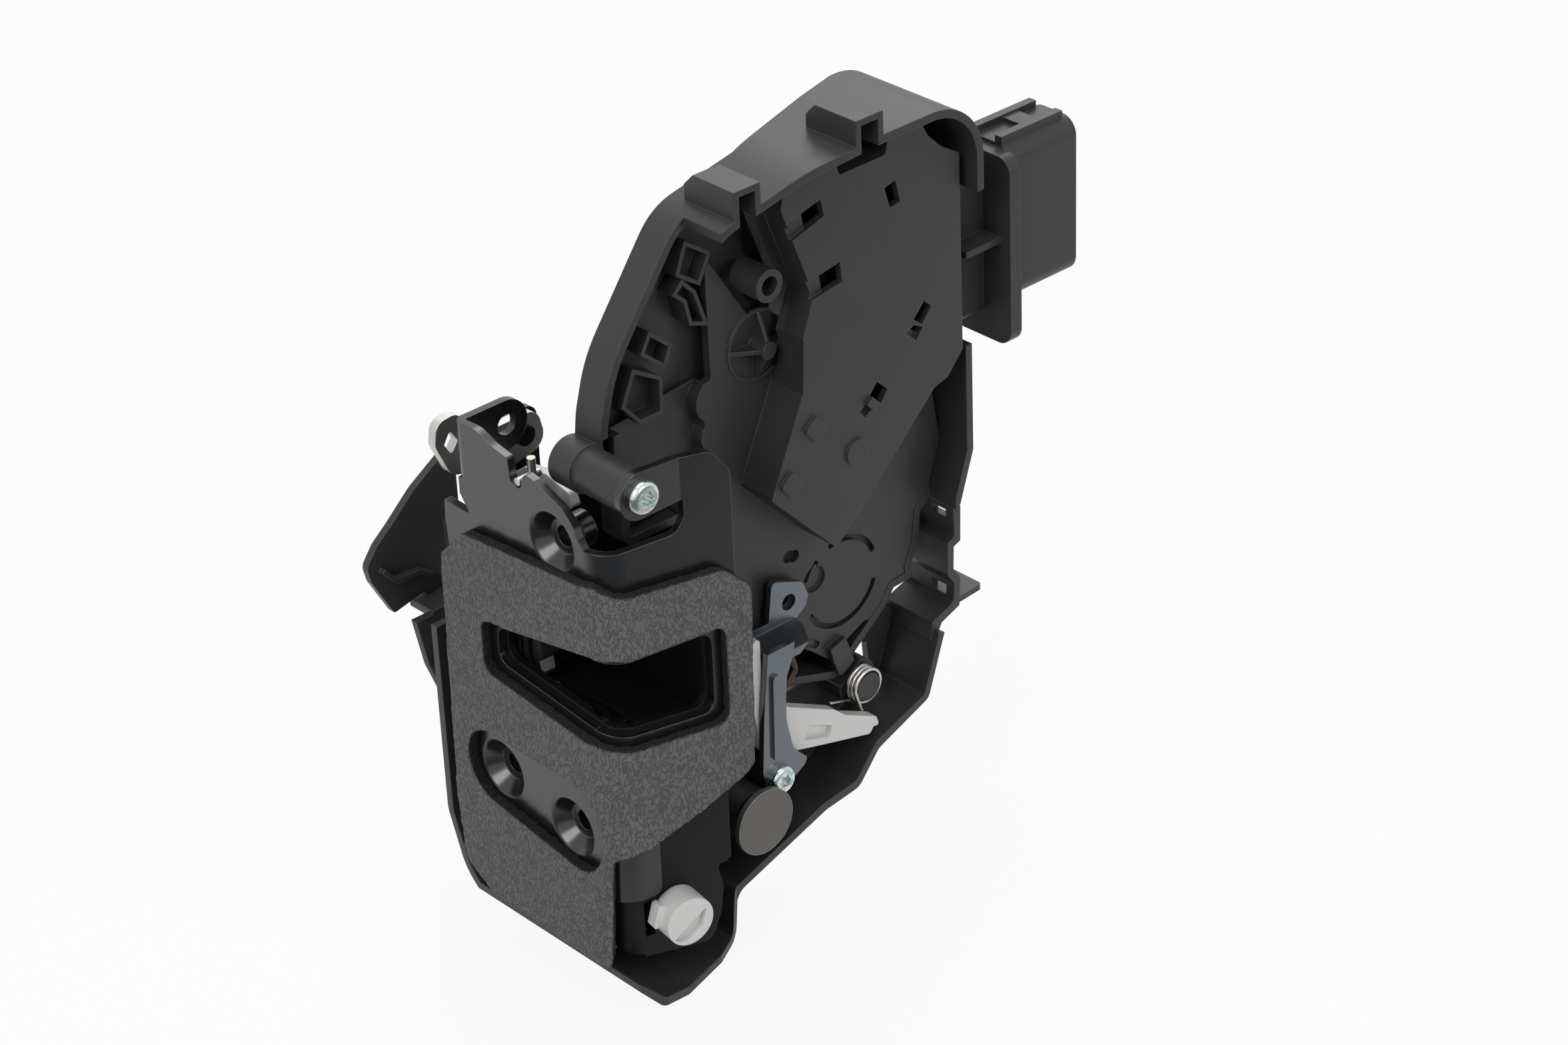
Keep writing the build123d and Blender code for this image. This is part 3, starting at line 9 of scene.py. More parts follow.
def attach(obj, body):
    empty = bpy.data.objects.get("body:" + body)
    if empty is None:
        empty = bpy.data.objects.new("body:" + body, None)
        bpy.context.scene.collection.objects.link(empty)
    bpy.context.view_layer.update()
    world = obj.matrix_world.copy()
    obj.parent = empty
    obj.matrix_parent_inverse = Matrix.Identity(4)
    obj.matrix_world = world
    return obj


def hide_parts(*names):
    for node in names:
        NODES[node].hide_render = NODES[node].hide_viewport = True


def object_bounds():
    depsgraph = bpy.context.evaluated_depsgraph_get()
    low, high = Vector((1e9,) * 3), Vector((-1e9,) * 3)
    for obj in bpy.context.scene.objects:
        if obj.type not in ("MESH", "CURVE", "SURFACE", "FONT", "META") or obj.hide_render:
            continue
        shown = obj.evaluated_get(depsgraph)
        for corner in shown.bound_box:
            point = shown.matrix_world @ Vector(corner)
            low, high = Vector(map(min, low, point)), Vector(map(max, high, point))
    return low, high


bl_info = {
    "name": "Door Latch Actuator",
    "version": (1, 0, 0),
    "blender": (4, 5, 0),
    "location": "3D View > Sidebar > Latch",
    "description": "Finishes, drive cover, mouth, foam pad, spring and studio of a door latch actuator",
    "category": "Object",
}

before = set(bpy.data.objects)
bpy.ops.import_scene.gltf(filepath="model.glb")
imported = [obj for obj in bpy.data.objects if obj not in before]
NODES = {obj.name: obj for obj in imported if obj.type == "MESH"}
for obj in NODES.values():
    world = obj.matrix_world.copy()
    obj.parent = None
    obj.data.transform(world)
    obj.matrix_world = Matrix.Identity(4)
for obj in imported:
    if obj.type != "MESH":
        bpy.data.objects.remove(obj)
CAD_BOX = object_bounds()
MM = 0.001

# Bend of the latch's plate: its axis in X and Y in millimetres, and the turn of face B in degrees
BEND_AXIS = (3.3, -10.5)
FACE_TURN = 9.0

# Camera place in metres
CAMERA_PLACE = (-0.46931, -0.59879, 0.44485)

# Lever spring, in millimetres
COIL_CENTRE = (82.3, -5.85, -73.7)
FRONT_LEG = (80.2, -7.45, -80.4)
BACK_LEG = (72.4, -4.25, -75.4)

# Levels of the drive's cover along Y, in millimetres
SHEET_Y = (-3.0, -0.8)
TOP_Y = -13.5
WALL = 2.0
CUP_WALL = 0.9
STRIP_FLOOR_Y = 0.4
PIT_FLOOR_Y = 0.7
CUP_Y = -3.3

# Outlines on the cover as (x, z) or (x, z, corner radius)
# Flat sheet, whose radii are those of the inset outline, and what is cut from its left and below
SHEET = [
    (14, -8), (14, 9), (9.2, 9), (7.9, 20), (8.6, 26, 17.7), (12, 38, 37.7), (33.1, 66.4, 13.7),
    (60, 71.8, 57.7), (84.5, 73), (114, 73, 13.2), (114, -20), (109.5, -33), (105, -36.5), (103.8, -45),
    (101.4, -50), (101.6, -53.5), (95.6, -53.8), (92.5, -58), (86, -63), (76, -70.5), (62, -66),
    (34, -64, 0.7), (34, -8),
]
SHEET_INSET = 2.3
SHEET_LEFT = [(0, -20), (13, -20), (13, 80), (0, 80)]
BELOW = [
    (30, -80), (30, -57), (56, -56), (58, -52.5), (63.7, -55.6), (69.1, -60.0), (74.0, -64.2, 1),
    (78.1, -62.1, 1), (85.6, -58.7), (100, -62), (100, -80),
]
# Lower tab, and the root that joins it to the sheet
TAB = [(73.2, -60.6), (78.0, -59.2), (80.4, -66.6, 0.8), (76.1, -69.0, 0.8), (74.0, -64.2)]
TAB_ROOT = [(73.2, -60.6), (78.0, -59.2), (78.4, -61.2), (73.5, -62.2)]
# Raised plateau, and the flared foot of its left wall: inner and outer reach, low and high level
TOP = [
    (54.4, 63.6, 1.5), (56.0, 68.6, 1), (71, 69.9, 1), (72.5, 66.0, 1), (86.5, 66.0, 1),
    (87.5, 70.4, 1), (97.3, 70.4, 1), (99.7, 66.1, 1), (104, 61.9, 1), (109.3, 58.8, 1),
    (109.5, 8.9, 1), (104.5, 3.5, 1), (100.2, 2.4, 1), (88.7, -8.2, 1), (68.1, -26.6, 1),
    (45.7, -6.4, 3), (64.5, 14.5, 6), (64.1, 31.0, 5), (59.8, 38.5, 5),
]
FOOT = [(54.4, 63.6, 1.5), (59.8, 38.5, 5), (64.1, 31.0, 5), (64.5, 14.5, 2), (72, 14.5), (72, 63.6)]
FLARES = [(1.2, 2.8, 0.0, 0.9), (0.4, 1.2, 0.9, 2.1), (0.0, 0.4, 2.1, 3.9)]
# Sunk strip, the discs that scallop its edge, and the cups along the rim
STRIP = [
    (15, -6), (15, 30.5), (19.5, 38.0), (25.5, 46.0), (30.1, 52.0, 0.8), (32.6, 48.6, 0.8),
    (30.4, 45.2, 0.8), (34.4, 44.0, 0.8), (33.4, 39.8, 0.8), (36.5, 36.4, 0.8), (36.1, 34.0, 0.8),
    (32.6, 34.6, 0.8), (29.6, 31.8, 0.8), (34.8, 29.3, 0.8), (39.0, 24.6, 0.8), (39.0, 6.0, 0.8),
    (34.5, 0.5, 0.8), (30, -6),
]
SCALLOPS = [(41.0, 28.4, 2.6), (42.0, 18.2, 5.0), (41.6, 9.4, 3.6)]
PITS = [
    [(36.3, 58.4), (42.2, 54.2), (39.3, 48.9), (34.0, 52.6), (35.2, 56.0)],
    [(34.6, 49.6), (37.6, 46.4), (40.2, 38.6), (36.9, 39.8), (35.6, 45.6), (33.0, 48.0)],
    [(24.8, 40.7), (29.8, 36.4), (28.2, 32.9), (22.9, 37.4)],
    [(19.7, 33.6), (26.6, 29.4), (26.4, 21.8), (20.8, 21.8), (16.6, 26.8)],
]
# Boss, round seat with its cross, slotted ring with angles in degrees, dish, holes and bar
BOSS = (53.0, 45.2)
BOSS_R = (3.9, 2.3)
BOSS_Y = -11.0
CROSS = (55.3, 27.0)
CROSS_R = 8.8
CROSS_HUB_R = 2.1
CROSS_TURNS = (-5, 85, 175, 265)
RING = (78.6, -44.7)
RING_R = (12.0, 10.5)
RING_SLOTS = [(20, 108), (130, 160), (206, 341)]
DISH = (70.2, -40.4, 3.4)
HOLES = [(62.4, -31.0, 1.6), (64.2, -31.6, 1.6)]
BAR = [(62, -52.0, 1), (70.3, -56.9, 1.2), (71.1, -58.5, 0.8), (70.2, -59.3, 0.8), (62, -54.8, 1)]
# Slots right through the plateau, slots with one shallow half, and raised pads
SLOTS = [
    [(85.9, 58.1), (89.3, 58.9), (90.7, 53.0), (87.4, 52.8)],
    [(97.4, 25.8), (99.8, 23.7), (96.8, 20.1), (94.0, 22.3)],
    [(82.1, 11.0), (85.5, 7.7), (83.3, 5.0), (79.7, 8.4)],
]
STEPPED = [
    [(56.5, 59.8), (66.6, 62.2), (67.6, 57.8), (57.5, 55.0)],
    [(60.7, 43.3), (71.8, 45.1), (72.4, 40.0), (61.8, 38.5)],
    [(91.4, 19.8), (94.1, 20.9), (97.0, 19.3), (94.8, 16.7)],
    [(76.5, 5.4), (79.9, 8.2), (82.0, 5.7), (78.2, 3.3)],
]
PADS = [(62.5, 6.6), (54.6, -4.6)]
PAD_CORNERS = [(-3.8, 0.7), (0.0, 3.9), (3.6, 0.3), (0.3, -4.0)]
PAD_CORNER_R = 1.2
ROUND_PAD = (75.1, -4.3, 3.3)
# Seat and bore of the bracket's screw
SEAT = (59.3, -40.6)
SEAT_R = (4.2, 1.4)

# Inside of the latch: the wall behind the mouth and the strip that is cut away
REAR_WALL = [(24.6, 41.5), (50.4, 8.0), (50.4, 5.6), (48.9, 5.6), (24.6, 37.8)]
REAR_Z = (-57.0, -9.0)
LEFTOVER = [(-0.6, -9.0), (0.9, -9.0), (0.9, -5.0), (-0.6, -5.0)]
LEFTOVER_Z = (-47.6, -25.2)

# Corner arcs: the angle of one step in degrees, and the most that an arc takes of an edge
ARC_STEP = 12
ARC_SHARE = 0.48


# Shader maths


class Port:
    """Output socket of a shader node, which Python's operators turn into Math nodes."""

    def __init__(self, graph, socket):
        self.graph = graph
        self.socket = socket

    def __add__(self, other):
        return self.graph.maths("ADD", self, other)

    __radd__ = __add__

    def __sub__(self, other):
        return self.graph.maths("SUBTRACT", self, other)

    def __rsub__(self, other):
        return self.graph.maths("SUBTRACT", other, self)

    def __mul__(self, other):
        return self.graph.maths("MULTIPLY", self, other)

    __rmul__ = __mul__

    def ramp(self, low, high, start=0.0, end=1.0):
        """Smooth step of this value between low and high."""
        sockets = {"Value": self, "From Min": low, "From Max": high, "To Min": start, "To Max": end}
        return self.graph.port("ShaderNodeMapRange", 0, {"interpolation_type": "SMOOTHSTEP"}, sockets)


class Graph:
    """One material and the nodes that make it."""

    def __init__(self, name):
        self.material = bpy.data.materials.new(name)
        self.material.use_nodes = True
        self.tree = self.material.node_tree
        self.tree.nodes.clear()
        self.place = self.port("ShaderNodeTexCoord", "Object")

    def make(self, kind, settings=None, sockets=None):
        """Node of a type, with its settings and then the values or links of its sockets."""
        node = self.tree.nodes.new(kind)
        for key, value in (settings or {}).items():
            setattr(node, key, value)
        for key, value in (sockets or {}).items():
            if isinstance(value, Port):
                self.tree.links.new(value.socket, node.inputs[key])
            else:
                node.inputs[key].default_value = value
        return node

    def port(self, kind, output, settings=None, sockets=None):
        return Port(self, self.make(kind, settings, sockets).outputs[output])

    def maths(self, operation, *values):
        return self.port("ShaderNodeMath", 0, {"operation": operation}, dict(enumerate(values)))

    def mix(self, factor, first, second):
        """Colour between two colours."""
        return self.port("ShaderNodeMix", 2, {"data_type": "RGBA"}, {0: factor, 6: first, 7: second})

    def stretched(self, scale):
        """Object coordinates, scaled along each axis."""
        return self.port("ShaderNodeMapping", 0, None, {"Vector": self.place, "Scale": scale})

    def noise(self, scale, detail=2.0, roughness=0.5, vector=None):
        sockets = {"Vector": vector or self.place, "Scale": scale, "Detail": detail,
                   "Roughness": roughness}
        return self.port("ShaderNodeTexNoise", 0, None, sockets)

    def cells(self, scale, feature="F1", vector=None):
        sockets = {"Vector": vector or self.place, "Scale": scale}
        return self.port("ShaderNodeTexVoronoi", 0, {"feature": feature}, sockets)

    def bump(self, height, distance, strength=1.0, normal=None):
        sockets = {"Height": height, "Distance": distance, "Strength": strength}
        if normal:
            sockets["Normal"] = normal
        return self.port("ShaderNodeBump", 0, None, sockets)

    def soft_edges(self, radius):
        return self.port("ShaderNodeBevel", 0, {"samples": 6}, {"Radius": radius})

    def edge_mask(self, rounded):
        """1 on the edges that soft_edges rounds, 0 on the flats; it masks the painted edge highlights.
        """
        normal = self.port("ShaderNodeNewGeometry", "Normal")
        dot = self.port("ShaderNodeVectorMath", 1, {"operation": "DOT_PRODUCT"}, {0: rounded, 1: normal})
        return (1 - dot).ramp(0.02, 0.22)

    def finish(self, **sockets):
        """Principled shader as the surface, with underscores read as spaces."""
        named = {key.replace("_", " "): value for key, value in sockets.items()}
        shader = self.port("ShaderNodeBsdfPrincipled", 0, None, named)
        self.make("ShaderNodeOutputMaterial", None, {"Surface": shader})
        return self.material


def colour(value):
    """Four-part colour of a property's three parts."""
    return (value[0], value[1], value[2], 1.0)


def shade(value, factor):
    return (value[0] * factor, value[1] * factor, value[2] * factor, 1.0)


# Finishes


def moulded_black(name, tint, gloss, shine=0.42):
    """Black moulded plastic: fine eroded texture, drag marks and softly rounded edges, with a painted
    highlight along them.
    """
    g = Graph(name)
    rounded = g.soft_edges(0.35 * MM)
    edge = g.edge_mask(rounded)
    cloud = g.noise(45.0, 4.0, 0.6)
    grain = g.noise(5200.0, 2.0, 0.6)
    base = g.mix(cloud, shade(tint, 0.8), shade(tint, 1.25))
    # Painted highlight: the rounded edges are lightened towards three and a half times the tint.
    base = g.mix(edge * 0.55, base, shade(tint, 3.4))
    rough = gloss + cloud * 0.10 + grain * 0.06
    normal = g.bump(grain, 0.012 * MM, 0.7, rounded)
    return g.finish(Base_Color=base, Roughness=rough, Normal=normal, Specular_IOR_Level=shine)


def coated_steel(name, tint, metallic=0.0):
    """Gloss black electrocoat on sheet steel, with a painted highlight along its cut edges."""
    g = Graph(name)
    rounded = g.soft_edges(0.3 * MM)
    edge = g.edge_mask(rounded)
    cloud = g.noise(30.0, 3.0, 0.55)
    peel = g.noise(420.0, 2.0, 0.5)
    scuff = g.noise(260.0, 6.0, 0.75).ramp(0.62, 0.72)
    base = g.mix(cloud, shade(tint, 0.85), shade(tint, 1.2))
    # Painted highlight: the cut edges are lightened to a pale blue-grey.
    base = g.mix(edge * 0.7, base, (0.075, 0.08, 0.085, 1.0))
    rough = 0.20 + cloud * 0.08 + scuff * 0.10
    normal = g.bump(peel, 0.02 * MM, 0.5, rounded)
    return g.finish(Base_Color=base, Roughness=rough, Metallic=metallic, Normal=normal,
                    Specular_IOR_Level=0.85)


def foam_skin(name, tint):
    """Closed-cell foam: a wrinkled skin with painted shade along its creases, and granular cut sides."""
    g = Graph(name)
    cut = g.port("ShaderNodeAttribute", "Fac", {"attribute_name": "cut_side"})
    cloud = g.noise(60.0, 4.0, 0.6)
    wrinkle = g.noise(900.0, 3.0, 0.55, g.stretched((1.0, 1.0, 0.6)))
    shaded_crease = g.maths("ABSOLUTE", wrinkle - 0.5).ramp(0.0, 0.05)
    speck = g.noise(3400.0, 2.0, 0.5)
    cell = g.cells(1900.0).ramp(0.15, 0.75)
    skin = g.mix(cloud, shade(tint, 0.86), shade(tint, 1.14))
    skin = g.mix(speck.ramp(0.35, 0.75) * 0.4, skin, shade(tint, 0.72))
    # Painted shade: the skin is darkened along the crease lines of the wrinkles.
    skin = g.mix(shaded_crease, shade(tint, 0.72), skin)
    side = g.mix(cell, shade(tint, 0.03), shade(tint, 0.13))
    side = g.mix(speck.ramp(0.62, 0.74) * 0.6, side, shade(tint, 0.9))
    base = g.mix(cut, skin, side)
    height = wrinkle * 0.6 + shaded_crease * 0.3 + speck * 0.05 + cut * cell * 0.5
    normal = g.bump(height, 0.75 * MM, 1.0)
    rough = 0.62 + wrinkle * 0.15 + cut * 0.15
    return g.finish(Base_Color=base, Roughness=rough, Normal=normal, Specular_IOR_Level=0.35)


def moulded_white(name, tint):
    """Natural acetal, slightly translucent."""
    g = Graph(name)
    rounded = g.soft_edges(0.3 * MM)
    cloud = g.noise(90.0, 3.0, 0.5)
    grain = g.noise(4200.0, 2.0, 0.5)
    base = g.mix(cloud, shade(tint, 0.95), shade(tint, 1.02))
    normal = g.bump(grain, 0.008 * MM, 0.5, rounded)
    return g.finish(Base_Color=base, Roughness=0.34 + grain * 0.08, Normal=normal,
                    Subsurface_Weight=0.25, Subsurface_Radius=(1.0, 1.0, 0.9), Subsurface_Scale=1.5 * MM)


def bare_metal(name, tint, rough, grain_size, depth):
    """Metal with a fine grain, and a painted highlight along its edges."""
    g = Graph(name)
    rounded = g.soft_edges(0.25 * MM)
    edge = g.edge_mask(rounded)
    cloud = g.noise(120.0, 4.0, 0.6)
    grain = g.noise(grain_size, 4.0, 0.65)
    base = g.mix(cloud, shade(tint, 0.82), shade(tint, 1.12))
    # Painted highlight: the edges are lightened to 1.6 times the tint.
    base = g.mix(edge * 0.6, base, shade(tint, 1.6))
    normal = g.bump(grain, depth * MM, 0.8, rounded)
    return g.finish(Base_Color=base, Roughness=rough + cloud * 0.12, Metallic=1.0, Normal=normal)


def zinc_plate(name, tint, stain):
    """Bright zinc plate with the blue-green cast of its passivation."""
    g = Graph(name)
    rounded = g.soft_edges(0.2 * MM)
    cloud = g.noise(520.0, 4.0, 0.6)
    patch = g.noise(700.0, 5.0, 0.65).ramp(0.46, 0.66)
    base = g.mix(cloud, shade(tint, 0.9), shade(tint, 1.1))
    base = g.mix(patch * 0.75, base, colour(stain))
    normal = g.bump(cloud, 0.02 * MM, 0.5, rounded)
    return g.finish(Base_Color=base, Roughness=0.16 + patch * 0.22, Metallic=1.0, Normal=normal)


def stud_face(name, tint):
    """Dull warm-grey steel disc, with a painted highlight on its thin rim."""
    g = Graph(name)
    rounded = g.soft_edges(0.3 * MM)
    edge = g.edge_mask(rounded)
    cloud = g.noise(260.0, 6.0, 0.7)
    fleck = g.noise(2600.0, 2.0, 0.6).ramp(0.55, 0.75)
    base = g.mix(cloud, shade(tint, 0.8), shade(tint, 1.2))
    base = g.mix(fleck * 0.35, base, shade(tint, 1.7))
    # Painted highlight: the rim is lightened to a pale warm grey.
    base = g.mix(edge * 0.8, base, (0.52, 0.51, 0.48, 1.0))
    normal = g.bump(cloud, 0.03 * MM, 0.5, rounded)
    return g.finish(Base_Color=base, Roughness=0.46 + cloud * 0.12, Metallic=0.75, Normal=normal)


def plain_rubber(name, tint):
    g = Graph(name)
    rounded = g.soft_edges(0.4 * MM)
    grain = g.noise(1500.0, 3.0, 0.6)
    base = g.mix(grain, shade(tint, 0.8), shade(tint, 1.3))
    normal = g.bump(grain, 0.02 * MM, 0.6, rounded)
    return g.finish(Base_Color=base, Roughness=0.55, Normal=normal, Specular_IOR_Level=0.35)


def lacquered_board(name):
    g = Graph(name)
    track = g.cells(260.0, "DISTANCE_TO_EDGE").ramp(0.0, 0.06)
    base = g.mix(track, (0.020, 0.045, 0.028, 1.0), (0.004, 0.014, 0.009, 1.0))
    return g.finish(Base_Color=base, Roughness=0.3, Specular_IOR_Level=0.5)


# Settings


def tint(name, value, note):
    return FloatVectorProperty(name=name, description=note, subtype="COLOR", default=value,
                               min=0.0, max=1.0)


def length(name, value, note):
    return FloatProperty(name=name, description=note, unit="LENGTH", default=value, min=0.0)


class LatchColours(bpy.types.PropertyGroup):
    """Colours of the finishes."""

    plastic: tint("Black plastic", (0.033, 0.0325, 0.032), "Housing, cover and back shell")
    connector: tint("Connector plastic", (0.036, 0.0345, 0.034), "Connector and its flange")
    steel: tint("Coated steel", (0.007, 0.0085, 0.010), "Latch plate and backplate")
    # Painted shade: the housing round the mouth gets a far darker black than the other plastic, for the
    # shade in the mouth.
    mouth_shade: tint("Latch housing", (0.004, 0.004, 0.004), "Deep black housing round the mouth")
    bracket: tint("Bracket", (0.15, 0.17, 0.19), "Blue-black bracket")
    foam: tint("Foam", (0.143, 0.142, 0.140), "Foam pad")
    acetal: tint("White plastic", (0.78, 0.78, 0.765), "Knob and levers")
    zinc: tint("Zinc lever", (0.62, 0.62, 0.60), "Outside release lever")
    screw: tint("Screws", (0.72, 0.75, 0.74), "Bright zinc plate")
    stain: tint("Passivation", (0.10, 0.42, 0.40), "Blue-green cast on the screws")
    stud: tint("Stud", (0.15, 0.145, 0.13), "Round stud head")
    wire: tint("Spring wire", (0.62, 0.59, 0.55), "Springs")
    hook: tint("Hook wire", (0.085, 0.050, 0.040), "Bent wire hook")
    claw: tint("Claw steel", (0.60, 0.58, 0.53), "Claw and pawl")


class LatchSizes(bpy.types.PropertyGroup):
    """Sizes of the dressed pieces."""

    voxel: length("Foam voxel", 0.00055, "Edge of the voxels that the pad is remeshed with")
    wrinkle: length("Wrinkle depth", 0.00011, "Height of the wrinkles in the foam's skin")
    wire_r: length("Wire radius", 0.0005, "Radius of the spring wire")
    coil_r: length("Coil radius", 0.0044, "Mean radius of the lever spring")
    turns: IntProperty(name="Turns", description="Turns of the lever spring", default=3, min=1, max=8)


class LatchStudio(bpy.types.PropertyGroup):
    """Camera and light."""

    azimuth: FloatProperty(name="Azimuth", description="Camera turn about the vertical",
                           subtype="ANGLE", default=math.radians(-41.7))
    elevation: FloatProperty(name="Elevation", description="Camera height angle",
                             subtype="ANGLE", default=math.radians(30.3))
    roll: FloatProperty(name="Roll", description="Camera roll", subtype="ANGLE",
                        default=math.radians(-2.35))
    lens: FloatProperty(name="Lens", description="Focal length in millimetres", default=92.6, min=1.0)
    power: FloatProperty(name="Light", description="Share of the full lamp power", default=1.0, min=0.0)


# Shapes


def grown(points, amount):
    """Outline moved outwards, or inwards for a negative amount, with its corner radii."""
    spots = [Vector(point[:2]) for point in points]
    area = sum(spots[index - 1].cross(spots[index]) for index in range(len(spots)))
    out = amount if area > 0 else -amount
    moved = []
    for index, spot in enumerate(spots):
        ahead = (spots[(index + 1) % len(spots)] - spot).normalized()
        behind = (spot - spots[index - 1]).normalized()
        normal = Vector((ahead.y + behind.y, -ahead.x - behind.x)).normalized()
        reach = out / normal.dot(Vector((ahead.y, -ahead.x)))
        moved.append((*(spot + normal * reach), *points[index][2:]))
    return moved


def rounded(points):
    """Outline with arcs at the corners that give a radius."""
    for index, point in enumerate(points):
        spot = Vector(point[:2])
        if len(point) < 3:
            yield spot
            continue
        behind = Vector(points[index - 1][:2]) - spot
        ahead = Vector(points[(index + 1) % len(points)][:2]) - spot
        half = behind.angle(ahead) / 2
        reach = min(point[2] / math.tan(half), ARC_SHARE * behind.length, ARC_SHARE * ahead.length)
        middle = (behind.normalized() + ahead.normalized()).normalized() * (reach / math.cos(half))
        start = behind.normalized() * reach - middle
        end = ahead.normalized() * reach - middle
        steps = max(2, math.ceil((math.pi - 2 * half) / math.radians(ARC_STEP)))
        for step in range(steps + 1):
            yield spot + middle + start.slerp(end, step / steps)


def disc(x, z, radius, count=48):
    turns = [2 * math.pi * index / count for index in range(count)]
    return [(x + radius * math.cos(turn), z + radius * math.sin(turn)) for turn in turns]


def sector(x, z, radii, start, end, count=24):
    """Outline of a piece of a ring, between two angles in degrees."""
    turns = [math.radians(start + (end - start) * index / count) for index in range(count + 1)]
    outer = [(x + radii[0] * math.cos(turn), z + radii[0] * math.sin(turn)) for turn in turns]
    inner = [(x + radii[1] * math.cos(turn), z + radii[1] * math.sin(turn)) for turn in reversed(turns)]
    return outer + inner


def prism(points, low, high, upright=False, far=None):
    """Closed solid of an outline, from one level to the next along Y, or along Z if upright."""
    shape = bmesh.new()
    rings = []
    for level, corners in ((low, points), (high, far or points)):
        spots = [(a, b, level) if upright else (a, level, b) for a, b in rounded(corners)]
        rings.append([shape.verts.new(Vector(spot) * MM) for spot in spots])
    for ring in rings:
        shape.faces.new(ring)
    for index in range(len(rings[0])):
        shape.faces.new((rings[0][index - 1], rings[0][index], rings[1][index], rings[1][index - 1]))
    bmesh.ops.recalc_face_normals(shape, faces=shape.faces)
    return shape


class Carving:
    """Closed solid that other solids are added to or cut from."""

    def __init__(self, name, shape, material):
        self.thing = new_object(name, shape, material)
        self.tools = []

    def use(self, operation, tool):
        step = self.thing.modifiers.new(operation, "BOOLEAN")
        step.operation = operation
        step.solver = "EXACT"
        step.object = tool
        self.tools.append(tool)

    def change(self, operation, shapes):
        for shape in shapes:
            self.use(operation, new_object("tool", shape, self.thing.data.materials[0]))

    def add(self, *shapes):
        self.change("UNION", shapes)

    def cut(self, *shapes):
        self.change("DIFFERENCE", shapes)

    def bake(self):
        """Make the result the solid's own mesh."""
        mesh = bpy.data.meshes.new_from_object(
            self.thing.evaluated_get(bpy.context.evaluated_depsgraph_get()))
        self.thing.modifiers.clear()
        self.thing.data = mesh
        for tool in self.tools:
            bpy.data.objects.remove(tool)
        for polygon in mesh.polygons:
            polygon.use_smooth = False
        return self.thing


# Pieces


def dress(node, material):
    for slot in NODES[node].material_slots:
        slot.material = material


def merged_copy(node):
    """Bmesh of a CAD node, with its loose triangles joined."""
    shape = bmesh.new()
    shape.from_mesh(NODES[node].data)
    bmesh.ops.remove_doubles(shape, verts=shape.verts, dist=0.5e-6)
    return shape


def new_object(name, shape, material, smooth=True):
    mesh = bpy.data.meshes.new(name)
    shape.to_mesh(mesh)
    shape.free()
    for polygon in mesh.polygons:
        polygon.use_smooth = smooth
    mesh.materials.append(material)
    thing = bpy.data.objects.new(name, mesh)
    bpy.context.scene.collection.objects.link(thing)
    return thing


def remeshed(name, shape, voxel, material):
    """Even quad mesh of a closed shape."""
    thing = new_object(name, shape, material)
    remesh = thing.modifiers.new("even", "REMESH")
    remesh.mode = "VOXEL"
    remesh.voxel_size = voxel
    remesh.use_smooth_shade = True
    baked = bpy.data.meshes.new_from_object(thing.evaluated_get(bpy.context.evaluated_depsgraph_get()))
    thing.modifiers.clear()
    thing.data = baked
    if not baked.materials:
        baked.materials.append(material)
    return thing


class LATCH_OT_finishes(bpy.types.Operator):
    """Give every CAD node its finish"""

    bl_idname = "latch.finishes"
    bl_label = "Finishes"

    def execute(self, context):
        c = context.scene.latch_colours
        black = moulded_black("plastic_black", c.plastic, 0.36)
        warm = moulded_black("plastic_connector", c.connector, 0.40)
        steel = coated_steel("steel_coated", c.steel)
        # Painted shade: a darker, less glossy copy of the black plastic for the housing round the mouth.
        shaded_black = moulded_black("plastic_shaded", c.mouth_shade, 0.42, 0.25)
        bracket = coated_steel("steel_bracket", c.bracket, 0.8)
        white = moulded_white("acetal_white", c.acetal)
        bare = bare_metal("steel_bare", c.claw, 0.30, 900.0, 0.05)
        cast = bare_metal("zinc_lever", c.zinc, 0.38, 1400.0, 0.03)
        wire = bare_metal("wire_spring", c.wire, 0.22, 2500.0, 0.01)
        hook = bare_metal("wire_hook", c.hook, 0.34, 2000.0, 0.02)
        screw = zinc_plate("screw_zinc", c.screw, c.stain)
        stud = stud_face("stud_steel", c.stud)
        rubber = plain_rubber("claw_rubber", (0.010, 0.010, 0.010))
        gold = bare_metal("contact_gold", (0.85, 0.66, 0.30), 0.2, 2500.0, 0.005)
        beige = moulded_white("wheel_acetal", (0.62, 0.60, 0.52))
        groups = {
            black: ("actuator_housing", "actuator_cover", "back_shell"),
            shaded_black: ("latch_housing",),
            warm: ("connector_carrier",),
            steel: ("latch_plate", "latch_backplate", "outside_lever_bracket"),
            bracket: ("support_bracket",),
            white: ("child_lock_knob", "release_lever", "link_lever"),
            bare: ("claw", "pawl", "claw_pin", "pawl_pin", "release_lever_pin", "link_lever_pin",
                   "notch_pin", "lock_motor", "motor_worm"),
            cast: ("outside_release_lever",),
            wire: ("claw_spring", "pawl_spring", "lever_spring"),
            hook: ("wire_hook",),
            screw: ("bracket_screw", "housing_screw"),
            stud: ("pivot_stud",),
            rubber: ("claw_overmould",),
            gold: ("terminal_pins",),
            beige: ("worm_wheel",),
            lacquered_board("board"): ("circuit_board",),
        }
        for material, names in groups.items():
            for name in names:
                dress(name, material)
        return {"FINISHED"}


